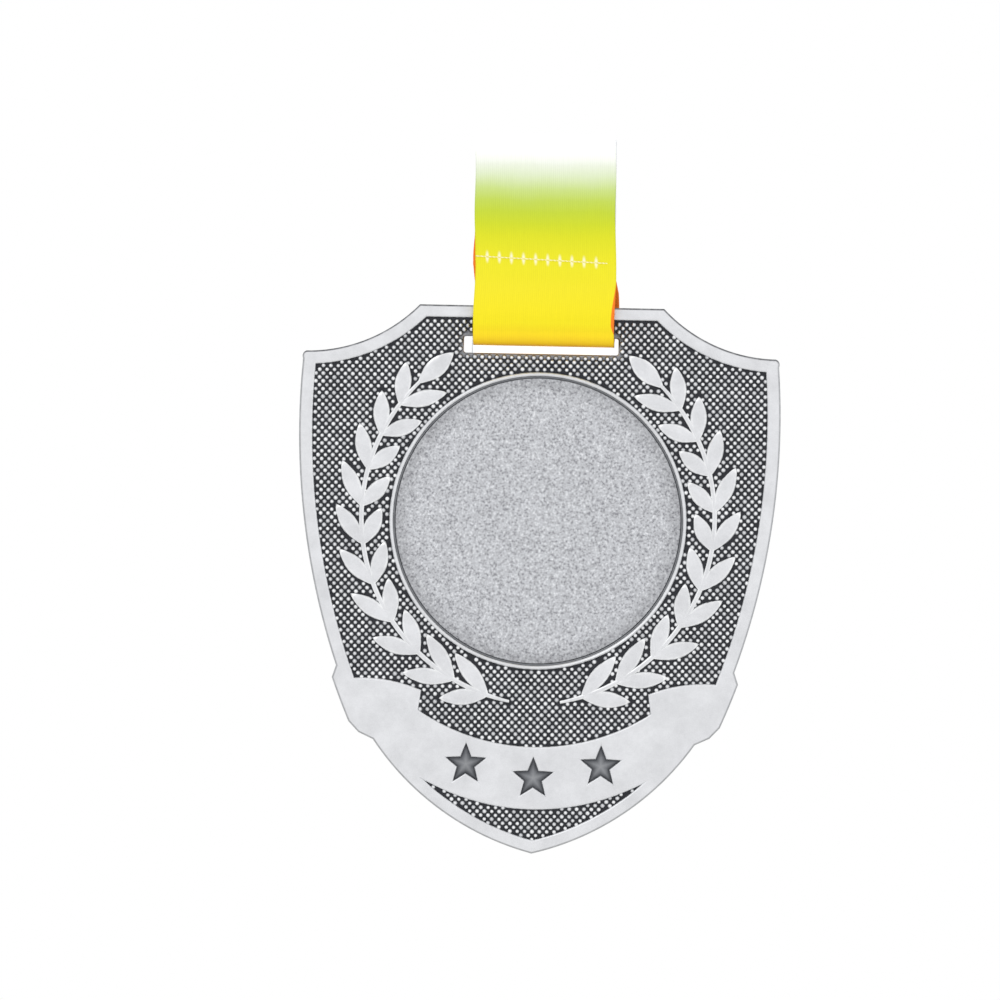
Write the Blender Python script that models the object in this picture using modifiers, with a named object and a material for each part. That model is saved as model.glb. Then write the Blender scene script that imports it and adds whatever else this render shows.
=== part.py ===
"""Sports finisher medal: a die-cast shield on a sewn neck ribbon that hangs over a peg.

Metres, +Z up. The origin is the axis of the peg that the ribbon's top fold hangs on, +X runs
across the ribbon and the medal's front faces -Y.
"""

import math

import bmesh
import bpy
from mathutils import Matrix, Vector

MM = 0.001

# ---- driving sizes, in millimetres ----
JOINT_GAP = 0.3  # between pieces that touch
SEAT_GAP = 0.25  # between the layers in the insert's pocket

# round insert, its pocket and the bead round it
INSERT_RADIUS = 25.2
INSERT_THICKNESS = 0.8
INSERT_SIDE_GAP = 0.25
ADHESIVE_INSET = 1.0
ADHESIVE_THICKNESS = 0.2
INSERT_SINK = 0.3  # how far the insert's face lies under the rim
BEAD_GAP = 0.2  # from the pocket's wall to the bead
BEAD_WIDTH = 0.9
BEAD_DROP = 0.06  # how far the bead stays under the rim

# neck ribbon
RIBBON_WIDTH = 25.0
RIBBON_THICKNESS = 0.5
RIBBON_SHIFT = 0.4  # the ribbon lies a little off the slot's middle
PEG_RADIUS = 4.0
RISE = 26.0  # from the peg's axis down to the shield's top edge
SEAM_RISE = 8.3  # from the shield's top edge up to the seam
SEAM_TAIL = 2.0  # ribbon beyond the seam
LOOP_LIFT = 0.9  # the loop's centre above the slot's top edge
LOOP_SLACK = 2.1  # how far the loop stands off each side of the bar
LOOP_SHAPE = ((0.82, 0.58), (1.0, 0.30), (0.85, 0.12))  # shares of the loop's bulge and height

# shield casting
SHIELD_WIDTH = 84.6  # between the tops of the two long sides
SHIELD_HEIGHT = 97.2
PLATE_THICKNESS = 3.0
RIM_WIDTH = 2.4
TOP_RIM_WIDTH = 2.2
SHOULDER_RIM_WIDTH = 1.9
FIELD_DEPTH = 0.6
RELIEF_DROP = 0.12  # how far the laurels stay under the rim
TOP_EAR = 7.95  # top edge beyond each end of the slot
SHOULDER_DROP = 8.6  # from the top edge down to the shoulder's point
SHOULDER_ROUND = 1.0
SHOULDER_STEP = (0.6, 1.4)  # from the shoulder's point to the top of the long side
SCOOP_RADIUS = 27.9
SIDE_RADIUS = 131.4
LOWER_RADIUS = 49.0

# ribbon slot
SLOT_PLAY = 2.5  # slot width beyond the ribbon's
SLOT_CLEARANCE = 1.25  # under the ribbon's loop
BAR_HEIGHT = 5.4  # metal between the slot and the top edge
SLOT_WEB = 3.25  # metal between the slot and the bead

# foot of the shield: in from the long side's top, and up from the tip
SIDE_FOOT_AT = (6.9, 32.8)
BANNER_END_TOP_AT = (6.2, 30.7)
BANNER_END_FOOT_AT = (9.3, 22.9)
BANNER_END_HEEL_AT = (11.1, 21.0)
LOWER_START_AT = (13.7, 19.8)
BANNER_END_RADIUS = 110.0

# banner, measured in the same way
FLAG_TOP_RISE = 30.7
FLAG_FOLD_AT = (22.2, 28.7)
FLAG_RADIUS = 26.7
BANNER_TOP_END_AT = (21.7, 25.2)
BANNER_TOP_RISE = 19.0
BANNER_FOOT_END_AT = (23.1, 12.6)
BANNER_FOOT_RISE = 7.8
STAR_RADIUS = 3.7
STAR_WAIST = 0.42
STAR_DEPTH = 0.4
STAR_PITCH = 12.0
STAR_RISE = 15.7  # of the outer stars, above the tip
STAR_SAG = 2.3  # of the middle star under them

# laurel branches: stem angle, splay of the outer and of the inner leaf, and their lengths
STEM_GAP = 4.75  # from the bead to the stem
STEM_FLARE = 1.15
STEM_MIDDLE = -17.0
STEM_REACH = 65.0
STEM_ENDS = (-82.0, 46.5)
STEM_WIDTH = 0.8
LEAF_WIDTH = 2.8
LEAF_SHAPE = ((0.0, 0.10), (0.22, 0.72), (0.45, 1.0), (0.72, 0.72), (1.0, 0.0))
TOP_LEAF = (48.0, 0.0, 8.3)
LEAF_PAIRS = (
    (39.0, 31.0, 36.0, 7.7, 8.7),
    (27.7, 27.5, 43.0, 7.9, 7.7),
    (15.8, 27.0, 37.0, 8.4, 7.1),
    (3.8, 28.0, 39.0, 8.9, 7.3),
    (-8.7, 26.5, 34.0, 8.7, 7.3),
    (-22.2, 23.0, 36.0, 8.8, 8.0),
    (-35.9, 21.5, 29.0, 9.1, 7.9),
    (-49.2, 23.5, 29.5, 8.8, 8.3),
    (-63.3, 20.0, 31.0, 9.4, 9.6),
    (-75.1, 19.5, 36.0, 8.8, 9.6),
)

# stowed length of the ribbon, folded behind the medal
HANK_TOP = -37.0
HANK_LENGTH = 71.0
HANK_RUNS = 6
HANK_PLY_GAP = 0.12
TIE_WIDTH = 6.0
TIE_THICKNESS = 0.8
TIE_DROP = 33.0  # from the hank's top to the tie's middle

# seam
THREAD_DIAMETER = 0.35
STITCH_PITCH = 2.15
STITCH_WAVE = 0.12
SEAM_MARGIN = 0.6  # least ribbon beyond the last stitch

# ---- places worked out from the sizes ----
PLY_STEP = RIBBON_THICKNESS + JOINT_GAP
PLY_INNER = PEG_RADIUS + RIBBON_THICKNESS / 2
PLY_OUTER = PLY_INNER + PLY_STEP
MEDAL_Y = -PLY_INNER
FRONT_Y = MEDAL_Y - PLATE_THICKNESS / 2
BACK_Y = MEDAL_Y + PLATE_THICKNESS / 2
FIELD_Y = FRONT_Y + FIELD_DEPTH
INSERT_Y = FRONT_Y + INSERT_SINK
ADHESIVE_Y = INSERT_Y + INSERT_THICKNESS + SEAT_GAP
POCKET_Y = ADHESIVE_Y + ADHESIVE_THICKNESS + SEAT_GAP
POCKET_RADIUS = INSERT_RADIUS + INSERT_SIDE_GAP
BEAD_INNER = POCKET_RADIUS + BEAD_GAP
BEAD_OUTER = BEAD_INNER + BEAD_WIDTH
STEM_RADIUS = BEAD_OUTER + STEM_GAP
SEAM_DROP = RISE - SEAM_RISE
SEAM_X = RIBBON_SHIFT
STITCHES = int((RIBBON_WIDTH - 2 * SEAM_MARGIN) / STITCH_PITCH)
LOOP_RADIUS = math.hypot(PLATE_THICKNESS / 2, LOOP_LIFT) + JOINT_GAP + RIBBON_THICKNESS / 2
LOOP_BULGE = PLATE_THICKNESS / 2 + LOOP_SLACK
SLOT_WIDTH = RIBBON_WIDTH + SLOT_PLAY
SLOT_HEIGHT = LOOP_RADIUS - LOOP_LIFT + RIBBON_THICKNESS / 2 + SLOT_CLEARANCE
SLOT_TOP_Z = -RISE - BAR_HEIGHT
LOOP_Z = SLOT_TOP_Z + LOOP_LIFT
HANK_THICKNESS = 2 * HANK_RUNS * (RIBBON_THICKNESS + HANK_PLY_GAP)
HANK_Y = PLY_INNER - RIBBON_THICKNESS / 2

# the shield's own heights run from the centre of its round insert
SHIELD_TOP = BEAD_OUTER + SLOT_WEB + SLOT_HEIGHT + BAR_HEIGHT
SHIELD_TIP = SHIELD_TOP - SHIELD_HEIGHT
DISC_Z = -RISE - SHIELD_TOP
TOP_CORNER_X = SLOT_WIDTH / 2 + TOP_EAR
SIDE_TOP = (SHIELD_WIDTH / 2, SHIELD_TOP - SHOULDER_DROP - SHOULDER_STEP[1])
SHOULDER = (SIDE_TOP[0] - SHOULDER_STEP[0], SHIELD_TOP - SHOULDER_DROP)

CUT_OVER = 1.0  # how far a cutter runs past the face that it leaves


def arc(start, end, radius, steps=8):
    """Points from start to end on an arc. A positive radius has its centre to the left."""
    start, end = Vector(start), Vector(end)
    chord = end - start
    normal = Vector((-chord.y, chord.x)).normalized()
    rise = math.sqrt(max(radius * radius - chord.length_squared / 4, 0.0))
    centre = (start + end) / 2 + normal * math.copysign(rise, radius)
    first = (start - centre).normalized()
    turn = first.angle_signed((end - centre).normalized())
    points = []
    for i in range(steps + 1):
        spun = Matrix.Rotation(-turn * i / steps, 2) @ first
        points.append(tuple(centre + spun * abs(radius)))
    return points


def through(left, bottom, right, steps=16):
    """Points of the arc from left to right that sags to the height bottom at its middle."""
    half, sag = (right[0] - left[0]) / 2, left[1] - bottom
    radius = (half * half + sag * sag) / (2 * sag)
    return arc(left, right, radius, steps)


def foot_point(at):
    """A point of the shield's foot, from its inset from the side and its rise from the tip."""
    inset, rise = at
    return (SIDE_TOP[0] - inset, SHIELD_TIP + rise)


def mirrored(half):
    """A closed outline from its right half, which runs from the top down to the bottom."""
    left = [(-x, z) for x, z in reversed(half) if x > 1e-6]
    return half + left


def shield_outline():
    half = [(0.0, SHIELD_TOP)]
    half += arc((TOP_CORNER_X, SHIELD_TOP), SHOULDER, SCOOP_RADIUS, 10)
    half += arc(SHOULDER, SIDE_TOP, -SHOULDER_ROUND, 2)[1:-1]
    half += arc(SIDE_TOP, foot_point(SIDE_FOOT_AT), -SIDE_RADIUS, 12)
    end_top, end_foot = foot_point(BANNER_END_TOP_AT), foot_point(BANNER_END_FOOT_AT)
    half += arc(end_top, end_foot, -BANNER_END_RADIUS, 4)
    half += [foot_point(BANNER_END_HEEL_AT)]
    half += arc(foot_point(LOWER_START_AT), (0.0, SHIELD_TIP), -LOWER_RADIUS, 12)
    return mirrored(half)


def inner_scoop_centre():
    """Centre of the shoulder scoop, which the rim's inner edge shares."""
    start, end = Vector((TOP_CORNER_X, SHIELD_TOP)), Vector(SHOULDER)
    chord = end - start
    normal = Vector((-chord.y, chord.x)).normalized()
    return (start + end) / 2 + normal * math.sqrt(SCOOP_RADIUS**2 - chord.length_squared / 4)


def side_x(z, inset):
    """How far out the shield's side is at height z, less an inset."""
    start, end = Vector(SIDE_TOP), Vector(foot_point(SIDE_FOOT_AT))
    chord = end - start
    normal = Vector((chord.y, -chord.x)).normalized()
    centre = (start + end) / 2 + normal * math.sqrt(SIDE_RADIUS**2 - chord.length_squared / 4)
    return centre.x + math.sqrt((SIDE_RADIUS - inset) ** 2 - (z - centre.y) ** 2)


def upper_field():
    """The textured ground above the banner."""
    centre, radius = inner_scoop_centre(), SCOOP_RADIUS + RIM_WIDTH
    top = SHIELD_TOP - TOP_RIM_WIDTH
    corner_x = centre.x - math.sqrt(radius**2 - (centre.y - top) ** 2)
    shoulder_x = SHOULDER[0] - SHOULDER_RIM_WIDTH
    shoulder = (shoulder_x, centre.y - math.sqrt(radius**2 - (centre.x - shoulder_x) ** 2))
    side_top = (side_x(shoulder[1], RIM_WIDTH), shoulder[1])
    flag_z = SHIELD_TIP + FLAG_TOP_RISE
    flag = (side_x(flag_z, RIM_WIDTH), flag_z)
    half = [(0.0, top)]
    half += arc((corner_x, top), shoulder, radius, 10)
    half += arc(side_top, flag, -(SIDE_RADIUS - RIM_WIDTH), 12)
    half += arc(flag, foot_point(FLAG_FOLD_AT), FLAG_RADIUS, 4)[1:]
    end_x, end_z = foot_point(BANNER_TOP_END_AT)
    sag = through((-end_x, end_z), SHIELD_TIP + BANNER_TOP_RISE, (end_x, end_z))
    half += [p for p in reversed(sag) if p[0] > -1e-6]
    return mirrored(half)


def lower_field():
    """The textured crescent under the banner."""
    right = foot_point(BANNER_FOOT_END_AT)
    left = (-right[0], right[1])
    rim = LOWER_RADIUS - RIM_WIDTH
    tip = (0.0, SHIELD_TIP + RIM_WIDTH)
    return (
        through(left, SHIELD_TIP + BANNER_FOOT_RISE, right)[:-1]
        + arc(right, tip, -rim, 10)
        + arc(tip, left, -rim, 10)[1:-1]
    )


def star_places():
    outer = SHIELD_TIP + STAR_RISE
    return ((-STAR_PITCH, outer), (0.0, outer - STAR_SAG), (STAR_PITCH, outer))


def star_outline(place):
    points = []
    for i in range(10):
        radius = STAR_RADIUS * (STAR_WAIST if i % 2 else 1.0)
        angle = math.radians(90 - 36 * i)
        points.append((place[0] + radius * math.cos(angle), place[1] + radius * math.sin(angle)))
    return points


def stem_point(angle):
    """A point of the left branch's stem. The angle is 0 at the left and grows upwards."""
    radius = STEM_RADIUS + STEM_FLARE * ((angle - STEM_MIDDLE) / STEM_REACH) ** 2
    a = math.radians(angle)
    return Vector((-radius * math.cos(a), radius * math.sin(a)))


def stem_outline():
    lower, upper = STEM_ENDS
    angles = [lower + (upper - lower) * i / 16 for i in range(17)]
    points = [stem_point(a) for a in angles]
    outer = [p + p.normalized() * STEM_WIDTH / 2 for p in points]
    inner = [p - p.normalized() * STEM_WIDTH / 2 for p in points]
    return [tuple(p) for p in outer + inner[::-1]]


def leaf_outline(angle, splay, length):
    """A pointed leaf on the left branch. A positive splay turns it outwards."""
    heading = math.radians(90 - angle + splay)
    along = Vector((math.cos(heading), math.sin(heading)))
    across = Vector((-along.y, along.x))
    base = stem_point(angle)
    reach = length * along
    half = LEAF_WIDTH / 2 * across
    left = [base + s * reach + w * half for s, w in LEAF_SHAPE]
    right = [base + s * reach - w * half for s, w in LEAF_SHAPE[:-1]]
    return [tuple(p) for p in left + right[::-1]]


def branch_outlines():
    outlines = [stem_outline(), leaf_outline(*TOP_LEAF)]
    for angle, outer, inner, outer_length, inner_length in LEAF_PAIRS:
        outlines.append(leaf_outline(angle, outer, outer_length))
        outlines.append(leaf_outline(angle, -inner, inner_length))
    return outlines


def collection(name):
    made = bpy.data.collections.new(name)
    bpy.context.scene.collection.children.link(made)
    return made


def material(name, colour, roughness, metallic):
    made = bpy.data.materials.new(name)
    made.use_nodes = True
    shader = made.node_tree.nodes["Principled BSDF"]
    shader.inputs["Base Color"].default_value = (*colour, 1.0)
    shader.inputs["Roughness"].default_value = roughness
    shader.inputs["Metallic"].default_value = metallic
    return made


def place(obj, group, finish=None):
    group.objects.link(obj)
    if finish:
        obj.data.materials.append(finish)
    return obj


def prism_mesh(name, outlines, y_low, y_high):
    """Flat outlines in X and Z, one beside the other, extruded from y_low to y_high."""
    bm = bmesh.new()
    for outline in outlines:
        verts = [bm.verts.new((x * MM, y_low * MM, (DISC_Z + z) * MM)) for x, z in outline]
        face = bm.faces.new(verts)
        pushed = bmesh.ops.extrude_face_region(bm, geom=[face])["geom"]
        moved = [g for g in pushed if isinstance(g, bmesh.types.BMVert)]
        bmesh.ops.translate(bm, verts=moved, vec=(0, (y_high - y_low) * MM, 0))
    bmesh.ops.recalc_face_normals(bm, faces=bm.faces)
    mesh = bpy.data.meshes.new(name)
    bm.to_mesh(mesh)
    bm.free()
    return bpy.data.objects.new(name, mesh)


def disc(name, radius, y_low, y_high, segments=96):
    """A round plate facing -Y, centred on the insert."""
    bm = bmesh.new()
    bmesh.ops.create_cone(
        bm,
        cap_ends=True,
        segments=segments,
        radius1=radius * MM,
        radius2=radius * MM,
        depth=(y_high - y_low) * MM,
        matrix=Matrix.Translation((0, (y_low + y_high) / 2 * MM, DISC_Z * MM))
        @ Matrix.Rotation(math.pi / 2, 4, "X"),
    )
    mesh = bpy.data.meshes.new(name)
    bm.to_mesh(mesh)
    bm.free()
    return bpy.data.objects.new(name, mesh)


def boolean(obj, cutter, operation, self_cut=False):
    mod = obj.modifiers.new(cutter.name, "BOOLEAN")
    mod.operation = operation
    mod.solver = "EXACT"
    mod.object = cutter
    mod.use_self = self_cut
    cutter.hide_render = True
    cutter.display_type = "WIRE"


def band(name, path, width, thickness):
    """A ribbon that follows a path in Y and Z, as an open strip with Solidify."""
    bm = bmesh.new()
    rows = []
    for y, z in path:
        rows.append([bm.verts.new((x * MM, y * MM, z * MM)) for x in (-width / 2, width / 2)])
    for a, b in zip(rows, rows[1:]):
        bm.faces.new((a[0], a[1], b[1], b[0]))
    mesh = bpy.data.meshes.new(name)
    bm.to_mesh(mesh)
    bm.free()
    obj = bpy.data.objects.new(name, mesh)
    solid = obj.modifiers.new("Thickness", "SOLIDIFY")
    solid.thickness = thickness * MM
    solid.offset = 0.0
    solid.use_even_offset = True
    obj.location.x = RIBBON_SHIFT * MM
    return obj


def spread(points, steps):
    """A smooth curve through hand-set points, as a Catmull-Rom spline."""
    ends = [points[0], *points, points[-1]]
    made = []
    for p0, p1, p2, p3 in zip(ends, ends[1:], ends[2:], ends[3:]):
        for i in range(steps):
            t = i / steps
            made.append(
                tuple(
                    0.5
                    * (
                        2 * b
                        + (c - a) * t
                        + (2 * a - 5 * b + 4 * c - d) * t * t
                        + (3 * b - a - 3 * c + d) * t**3
                    )
                    for a, b, c, d in zip(p0, p1, p2, p3)
                )
            )
    return made + [points[-1]]


def loop_side(side):
    """One side of the hanging loop in Y and Z, from the seam down to the bar's foot."""
    height = -SEAM_DROP - LOOP_Z
    points = [
        (MEDAL_Y + side * PLY_STEP, -SEAM_DROP - THREAD_DIAMETER),
        (MEDAL_Y + side * 1.5 * PLY_STEP, LOOP_Z + 0.84 * height),
    ]
    for out, up in LOOP_SHAPE:
        points.append((MEDAL_Y + side * out * LOOP_BULGE, LOOP_Z + up * height))
    return points + [(MEDAL_Y + side * LOOP_RADIUS, LOOP_Z)]


def loop_path():
    """The sewn end behind, round under the bar and up the front to the peg's height."""
    back = spread([(MEDAL_Y + PLY_STEP, -SEAM_DROP + SEAM_TAIL), *loop_side(1)], 4)
    turn = []
    for i in range(1, 10):
        a = math.pi * i / 10
        turn.append((MEDAL_Y + LOOP_RADIUS * math.cos(a), LOOP_Z - LOOP_RADIUS * math.sin(a)))
    front = spread(list(reversed(loop_side(-1))) + [(-PLY_OUTER, -SEAM_DROP + SEAM_TAIL)], 4)
    return back + turn + front + [(-PLY_OUTER, -JOINT_GAP)]


def make_casting(parts, cutters, finish):
    casting = prism_mesh("shield_casting", [shield_outline()], FRONT_Y, BACK_Y)
    place(casting, parts, finish)
    out = FRONT_Y - CUT_OVER
    fields = prism_mesh("field_cut", [upper_field(), lower_field()], out, FIELD_Y)
    stars = prism_mesh(
        "star_cut", [star_outline(p) for p in star_places()], out, FRONT_Y + STAR_DEPTH
    )
    relief_front = FRONT_Y + RELIEF_DROP
    left = branch_outlines()
    right = [[(-x, z) for x, z in reversed(outline)] for outline in left]
    laurels = prism_mesh("laurel_add", left + right, relief_front, FIELD_Y + FIELD_DEPTH)
    laurel_trim = prism_mesh("laurel_trim", [shield_outline()], out, POCKET_Y)
    bead = disc("bead_add", BEAD_OUTER, FRONT_Y + BEAD_DROP, POCKET_Y)
    bead_cut = disc("bead_cut", BEAD_INNER, out, FIELD_Y)
    pocket = disc("pocket_cut", POCKET_RADIUS, out, POCKET_Y)
    slot_z = SLOT_TOP_Z - DISC_Z
    half = SLOT_WIDTH / 2
    slot_box = [
        (-half, slot_z - SLOT_HEIGHT),
        (half, slot_z - SLOT_HEIGHT),
        (half, slot_z),
        (-half, slot_z),
    ]
    slot = prism_mesh("slot_cut", [slot_box], out, BACK_Y + CUT_OVER)
    for cutter in (fields, stars, laurels, laurel_trim, bead, bead_cut, pocket, slot):
        place(cutter, cutters)
    boolean(casting, fields, "DIFFERENCE")
    boolean(laurels, laurel_trim, "INTERSECT", self_cut=True)
    boolean(casting, laurels, "UNION", self_cut=True)
    boolean(casting, bead, "UNION")
    boolean(casting, bead_cut, "DIFFERENCE")
    boolean(casting, pocket, "DIFFERENCE")
    boolean(casting, slot, "DIFFERENCE")
    boolean(casting, stars, "DIFFERENCE")


def make_insert(parts, frosted, clear):
    place(
        disc("centre_insert", INSERT_RADIUS, INSERT_Y, INSERT_Y + INSERT_THICKNESS), parts, frosted
    )
    radius = INSERT_RADIUS - ADHESIVE_INSET
    place(
        disc("insert_adhesive", radius, ADHESIVE_Y, ADHESIVE_Y + ADHESIVE_THICKNESS, 48),
        parts,
        clear,
    )


def make_ribbon(parts, woven):
    place(band("ribbon_hanger_loop", loop_path(), RIBBON_WIDTH, RIBBON_THICKNESS), parts, woven)
    inner = [(-PLY_INNER, -SEAM_DROP - SEAM_TAIL), (-PLY_INNER, -JOINT_GAP)]
    place(band("ribbon_inner_strand", inner, RIBBON_WIDTH, RIBBON_THICKNESS), parts, woven)
    middle = (PLY_INNER + PLY_OUTER) / 2
    fold = [(-middle * math.cos(a), middle * math.sin(a)) for a in half_turn(14)]
    fold.append((middle, HANK_TOP + JOINT_GAP))
    place(band("ribbon_fold", fold, RIBBON_WIDTH, PLY_STEP + RIBBON_THICKNESS), parts, woven)
    make_hank(parts, woven)


def half_turn(steps):
    return [math.pi * i / steps for i in range(steps + 1)]


def make_hank(parts, woven):
    """The stowed runs of ribbon, as one block with round folds at its top and foot."""
    radius = HANK_THICKNESS / 2
    middle = HANK_Y + radius
    top = HANK_TOP - radius
    foot = HANK_TOP - HANK_LENGTH + radius
    outline = [(middle + radius * math.cos(a), top + radius * math.sin(a)) for a in half_turn(8)]
    outline += [(middle - radius * math.cos(a), foot - radius * math.sin(a)) for a in half_turn(8)]
    bm = bmesh.new()
    x_low = -RIBBON_WIDTH / 2 * MM
    face = bm.faces.new([bm.verts.new((x_low, y * MM, z * MM)) for y, z in outline])
    pushed = bmesh.ops.extrude_face_region(bm, geom=[face])["geom"]
    moved = [g for g in pushed if isinstance(g, bmesh.types.BMVert)]
    bmesh.ops.translate(bm, verts=moved, vec=(RIBBON_WIDTH * MM, 0, 0))
    bmesh.ops.recalc_face_normals(bm, faces=bm.faces)
    mesh = bpy.data.meshes.new("ribbon_hank")
    bm.to_mesh(mesh)
    bm.free()
    hank = bpy.data.objects.new("ribbon_hank", mesh)
    hank.location.x = RIBBON_SHIFT * MM
    place(hank, parts, woven)


def make_tie(parts, elastic):
    """An elastic band round the hank: a closed ring of flat strip."""
    half_x = RIBBON_WIDTH / 2 + JOINT_GAP + TIE_THICKNESS / 2
    half_y = HANK_THICKNESS / 2 + JOINT_GAP + TIE_THICKNESS / 2
    middle_y = HANK_Y + HANK_THICKNESS / 2
    z = HANK_TOP - TIE_DROP
    bm = bmesh.new()
    bmesh.ops.create_cube(bm, size=1.0)
    ends = [f for f in bm.faces if abs(f.normal.z) > 0.5]
    bmesh.ops.delete(bm, geom=ends, context="FACES_ONLY")
    size = (2 * half_x * MM, 2 * half_y * MM, TIE_WIDTH * MM)
    bmesh.ops.scale(bm, verts=bm.verts, vec=size)
    mesh = bpy.data.meshes.new("hank_tie")
    bm.to_mesh(mesh)
    bm.free()
    tie = bpy.data.objects.new("hank_tie", mesh)
    tie.location = (RIBBON_SHIFT * MM, middle_y * MM, z * MM)
    strip = tie.modifiers.new("Thickness", "SOLIDIFY")
    strip.thickness = TIE_THICKNESS * MM
    strip.offset = 0.0
    strip.use_even_offset = True
    place(tie, parts, elastic)


def make_thread(parts, name, y, outward, cotton):
    """One thread of the lockstitch, waving out over each stitch."""
    curve = bpy.data.curves.new(name, "CURVE")
    curve.dimensions = "3D"
    curve.bevel_depth = THREAD_DIAMETER / 2 * MM
    curve.bevel_resolution = 2
    curve.use_fill_caps = True
    count = 2 * STITCHES + 1
    spline = curve.splines.new("POLY")
    spline.points.add(count - 1)
    for i in range(count):
        x = (i / 2 - STITCHES / 2) * STITCH_PITCH
        lift = STITCH_WAVE * (i % 2)
        spline.points[i].co = (x * MM, outward * lift * MM, 0.0, 1.0)
    thread = bpy.data.objects.new(name, curve)
    thread.location = (SEAM_X * MM, y * MM, -SEAM_DROP * MM)
    place(thread, parts, cotton)


def make_seam(parts, cotton):
    off = PLY_STEP + RIBBON_THICKNESS / 2 + JOINT_GAP + THREAD_DIAMETER / 2
    make_thread(parts, "seam_needle_thread", MEDAL_Y - off, -1.0, cotton)
    make_thread(parts, "seam_bobbin_thread", MEDAL_Y + off, 1.0, cotton)


def main():
    for obj in list(bpy.data.objects):
        bpy.data.objects.remove(obj)
    parts = collection("finisher_medal")
    cutters = collection("cutters")
    silver = material("antique_silver_zinc", (0.55, 0.55, 0.56), 0.38, 1.0)
    frosted = material("frosted_silver_disc", (0.48, 0.48, 0.50), 0.6, 0.8)
    clear = material("clear_adhesive", (0.8, 0.8, 0.76), 0.4, 0.0)
    woven = material("yellow_satin_ribbon", (0.93, 0.85, 0.05), 0.55, 0.0)
    cotton = material("cream_thread", (0.9, 0.88, 0.62), 0.7, 0.0)
    elastic = material("white_elastic", (0.85, 0.85, 0.83), 0.75, 0.0)
    make_casting(parts, cutters, silver)
    make_insert(parts, frosted, clear)
    make_ribbon(parts, woven)
    make_tie(parts, elastic)
    make_seam(parts, cotton)


main()
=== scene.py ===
"""Looks of a sports finisher medal on its sewn neck ribbon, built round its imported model.

Metres, +Z up. The origin is the axis of the peg that the ribbon's top fold hangs on, and the
medal's front faces -Y. Outlines are in millimetres from the centre of the round insert.
"""

import math

import bmesh
import bpy
import numpy as np
from bpy.props import FloatProperty, FloatVectorProperty, IntProperty, PointerProperty
from bpy.types import Operator, Panel, PropertyGroup
from mathutils import Matrix, Vector, noise


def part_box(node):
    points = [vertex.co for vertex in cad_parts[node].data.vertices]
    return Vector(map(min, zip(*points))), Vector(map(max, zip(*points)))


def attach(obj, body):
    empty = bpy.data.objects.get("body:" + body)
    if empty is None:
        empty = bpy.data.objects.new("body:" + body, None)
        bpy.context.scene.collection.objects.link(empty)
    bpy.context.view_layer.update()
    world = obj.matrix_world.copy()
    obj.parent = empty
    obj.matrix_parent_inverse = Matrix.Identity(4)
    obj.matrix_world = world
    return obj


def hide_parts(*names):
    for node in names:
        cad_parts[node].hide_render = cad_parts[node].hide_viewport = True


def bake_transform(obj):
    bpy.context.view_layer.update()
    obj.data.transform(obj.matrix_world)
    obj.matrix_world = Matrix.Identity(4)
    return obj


bl_info = {
    "name": "Finisher Medal",
    "version": (1, 0, 0),
    "blender": (4, 5, 0),
    "location": "View3D > Sidebar > Medal",
    "description": "Builds the looks of a sports finisher medal on its sewn neck ribbon",
    "category": "Add Mesh",
}

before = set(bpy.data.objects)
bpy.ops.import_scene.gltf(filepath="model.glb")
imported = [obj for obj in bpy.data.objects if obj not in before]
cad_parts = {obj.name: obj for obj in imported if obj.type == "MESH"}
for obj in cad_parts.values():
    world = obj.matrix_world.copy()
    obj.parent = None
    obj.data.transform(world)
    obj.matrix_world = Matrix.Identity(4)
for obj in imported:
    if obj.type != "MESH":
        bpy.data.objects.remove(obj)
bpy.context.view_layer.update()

MM = 0.001


def node_corners(node):
    """A node's lowest and highest corners, in millimetres."""
    return [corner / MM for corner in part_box(node)]


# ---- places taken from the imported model, in millimetres ----
SHIELD_LOW, SHIELD_HIGH = node_corners("shield_casting")
INSERT_LOW, INSERT_HIGH = node_corners("centre_insert")
LOOP_LOW, LOOP_HIGH = node_corners("ribbon_hanger_loop")
INNER_LOW, INNER_HIGH = node_corners("ribbon_inner_strand")
HANK_LOW, HANK_HIGH = node_corners("ribbon_hank")
TIE_LOW, TIE_HIGH = node_corners("hank_tie")
NEEDLE_LOW, NEEDLE_HIGH = node_corners("seam_needle_thread")
ADHESIVE_BACK_Y = node_corners("insert_adhesive")[1].y

DISC_Z = (INSERT_LOW.z + INSERT_HIGH.z) / 2
INSERT_RADIUS = (INSERT_HIGH.x - INSERT_LOW.x) / 2
FRONT_Y, BACK_Y = SHIELD_LOW.y, SHIELD_HIGH.y
MEDAL_Y = (FRONT_Y + BACK_Y) / 2
SHIELD_TOP = SHIELD_HIGH.z - DISC_Z
SHIELD_TIP = SHIELD_LOW.z - DISC_Z
RIBBON_WIDTH = LOOP_HIGH.x - LOOP_LOW.x
RIBBON_X = (LOOP_HIGH.x + LOOP_LOW.x) / 2
RIBBON_THICKNESS = INNER_HIGH.y - INNER_LOW.y
SEAM_Z = (NEEDLE_LOW.z + NEEDLE_HIGH.z) / 2

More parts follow.
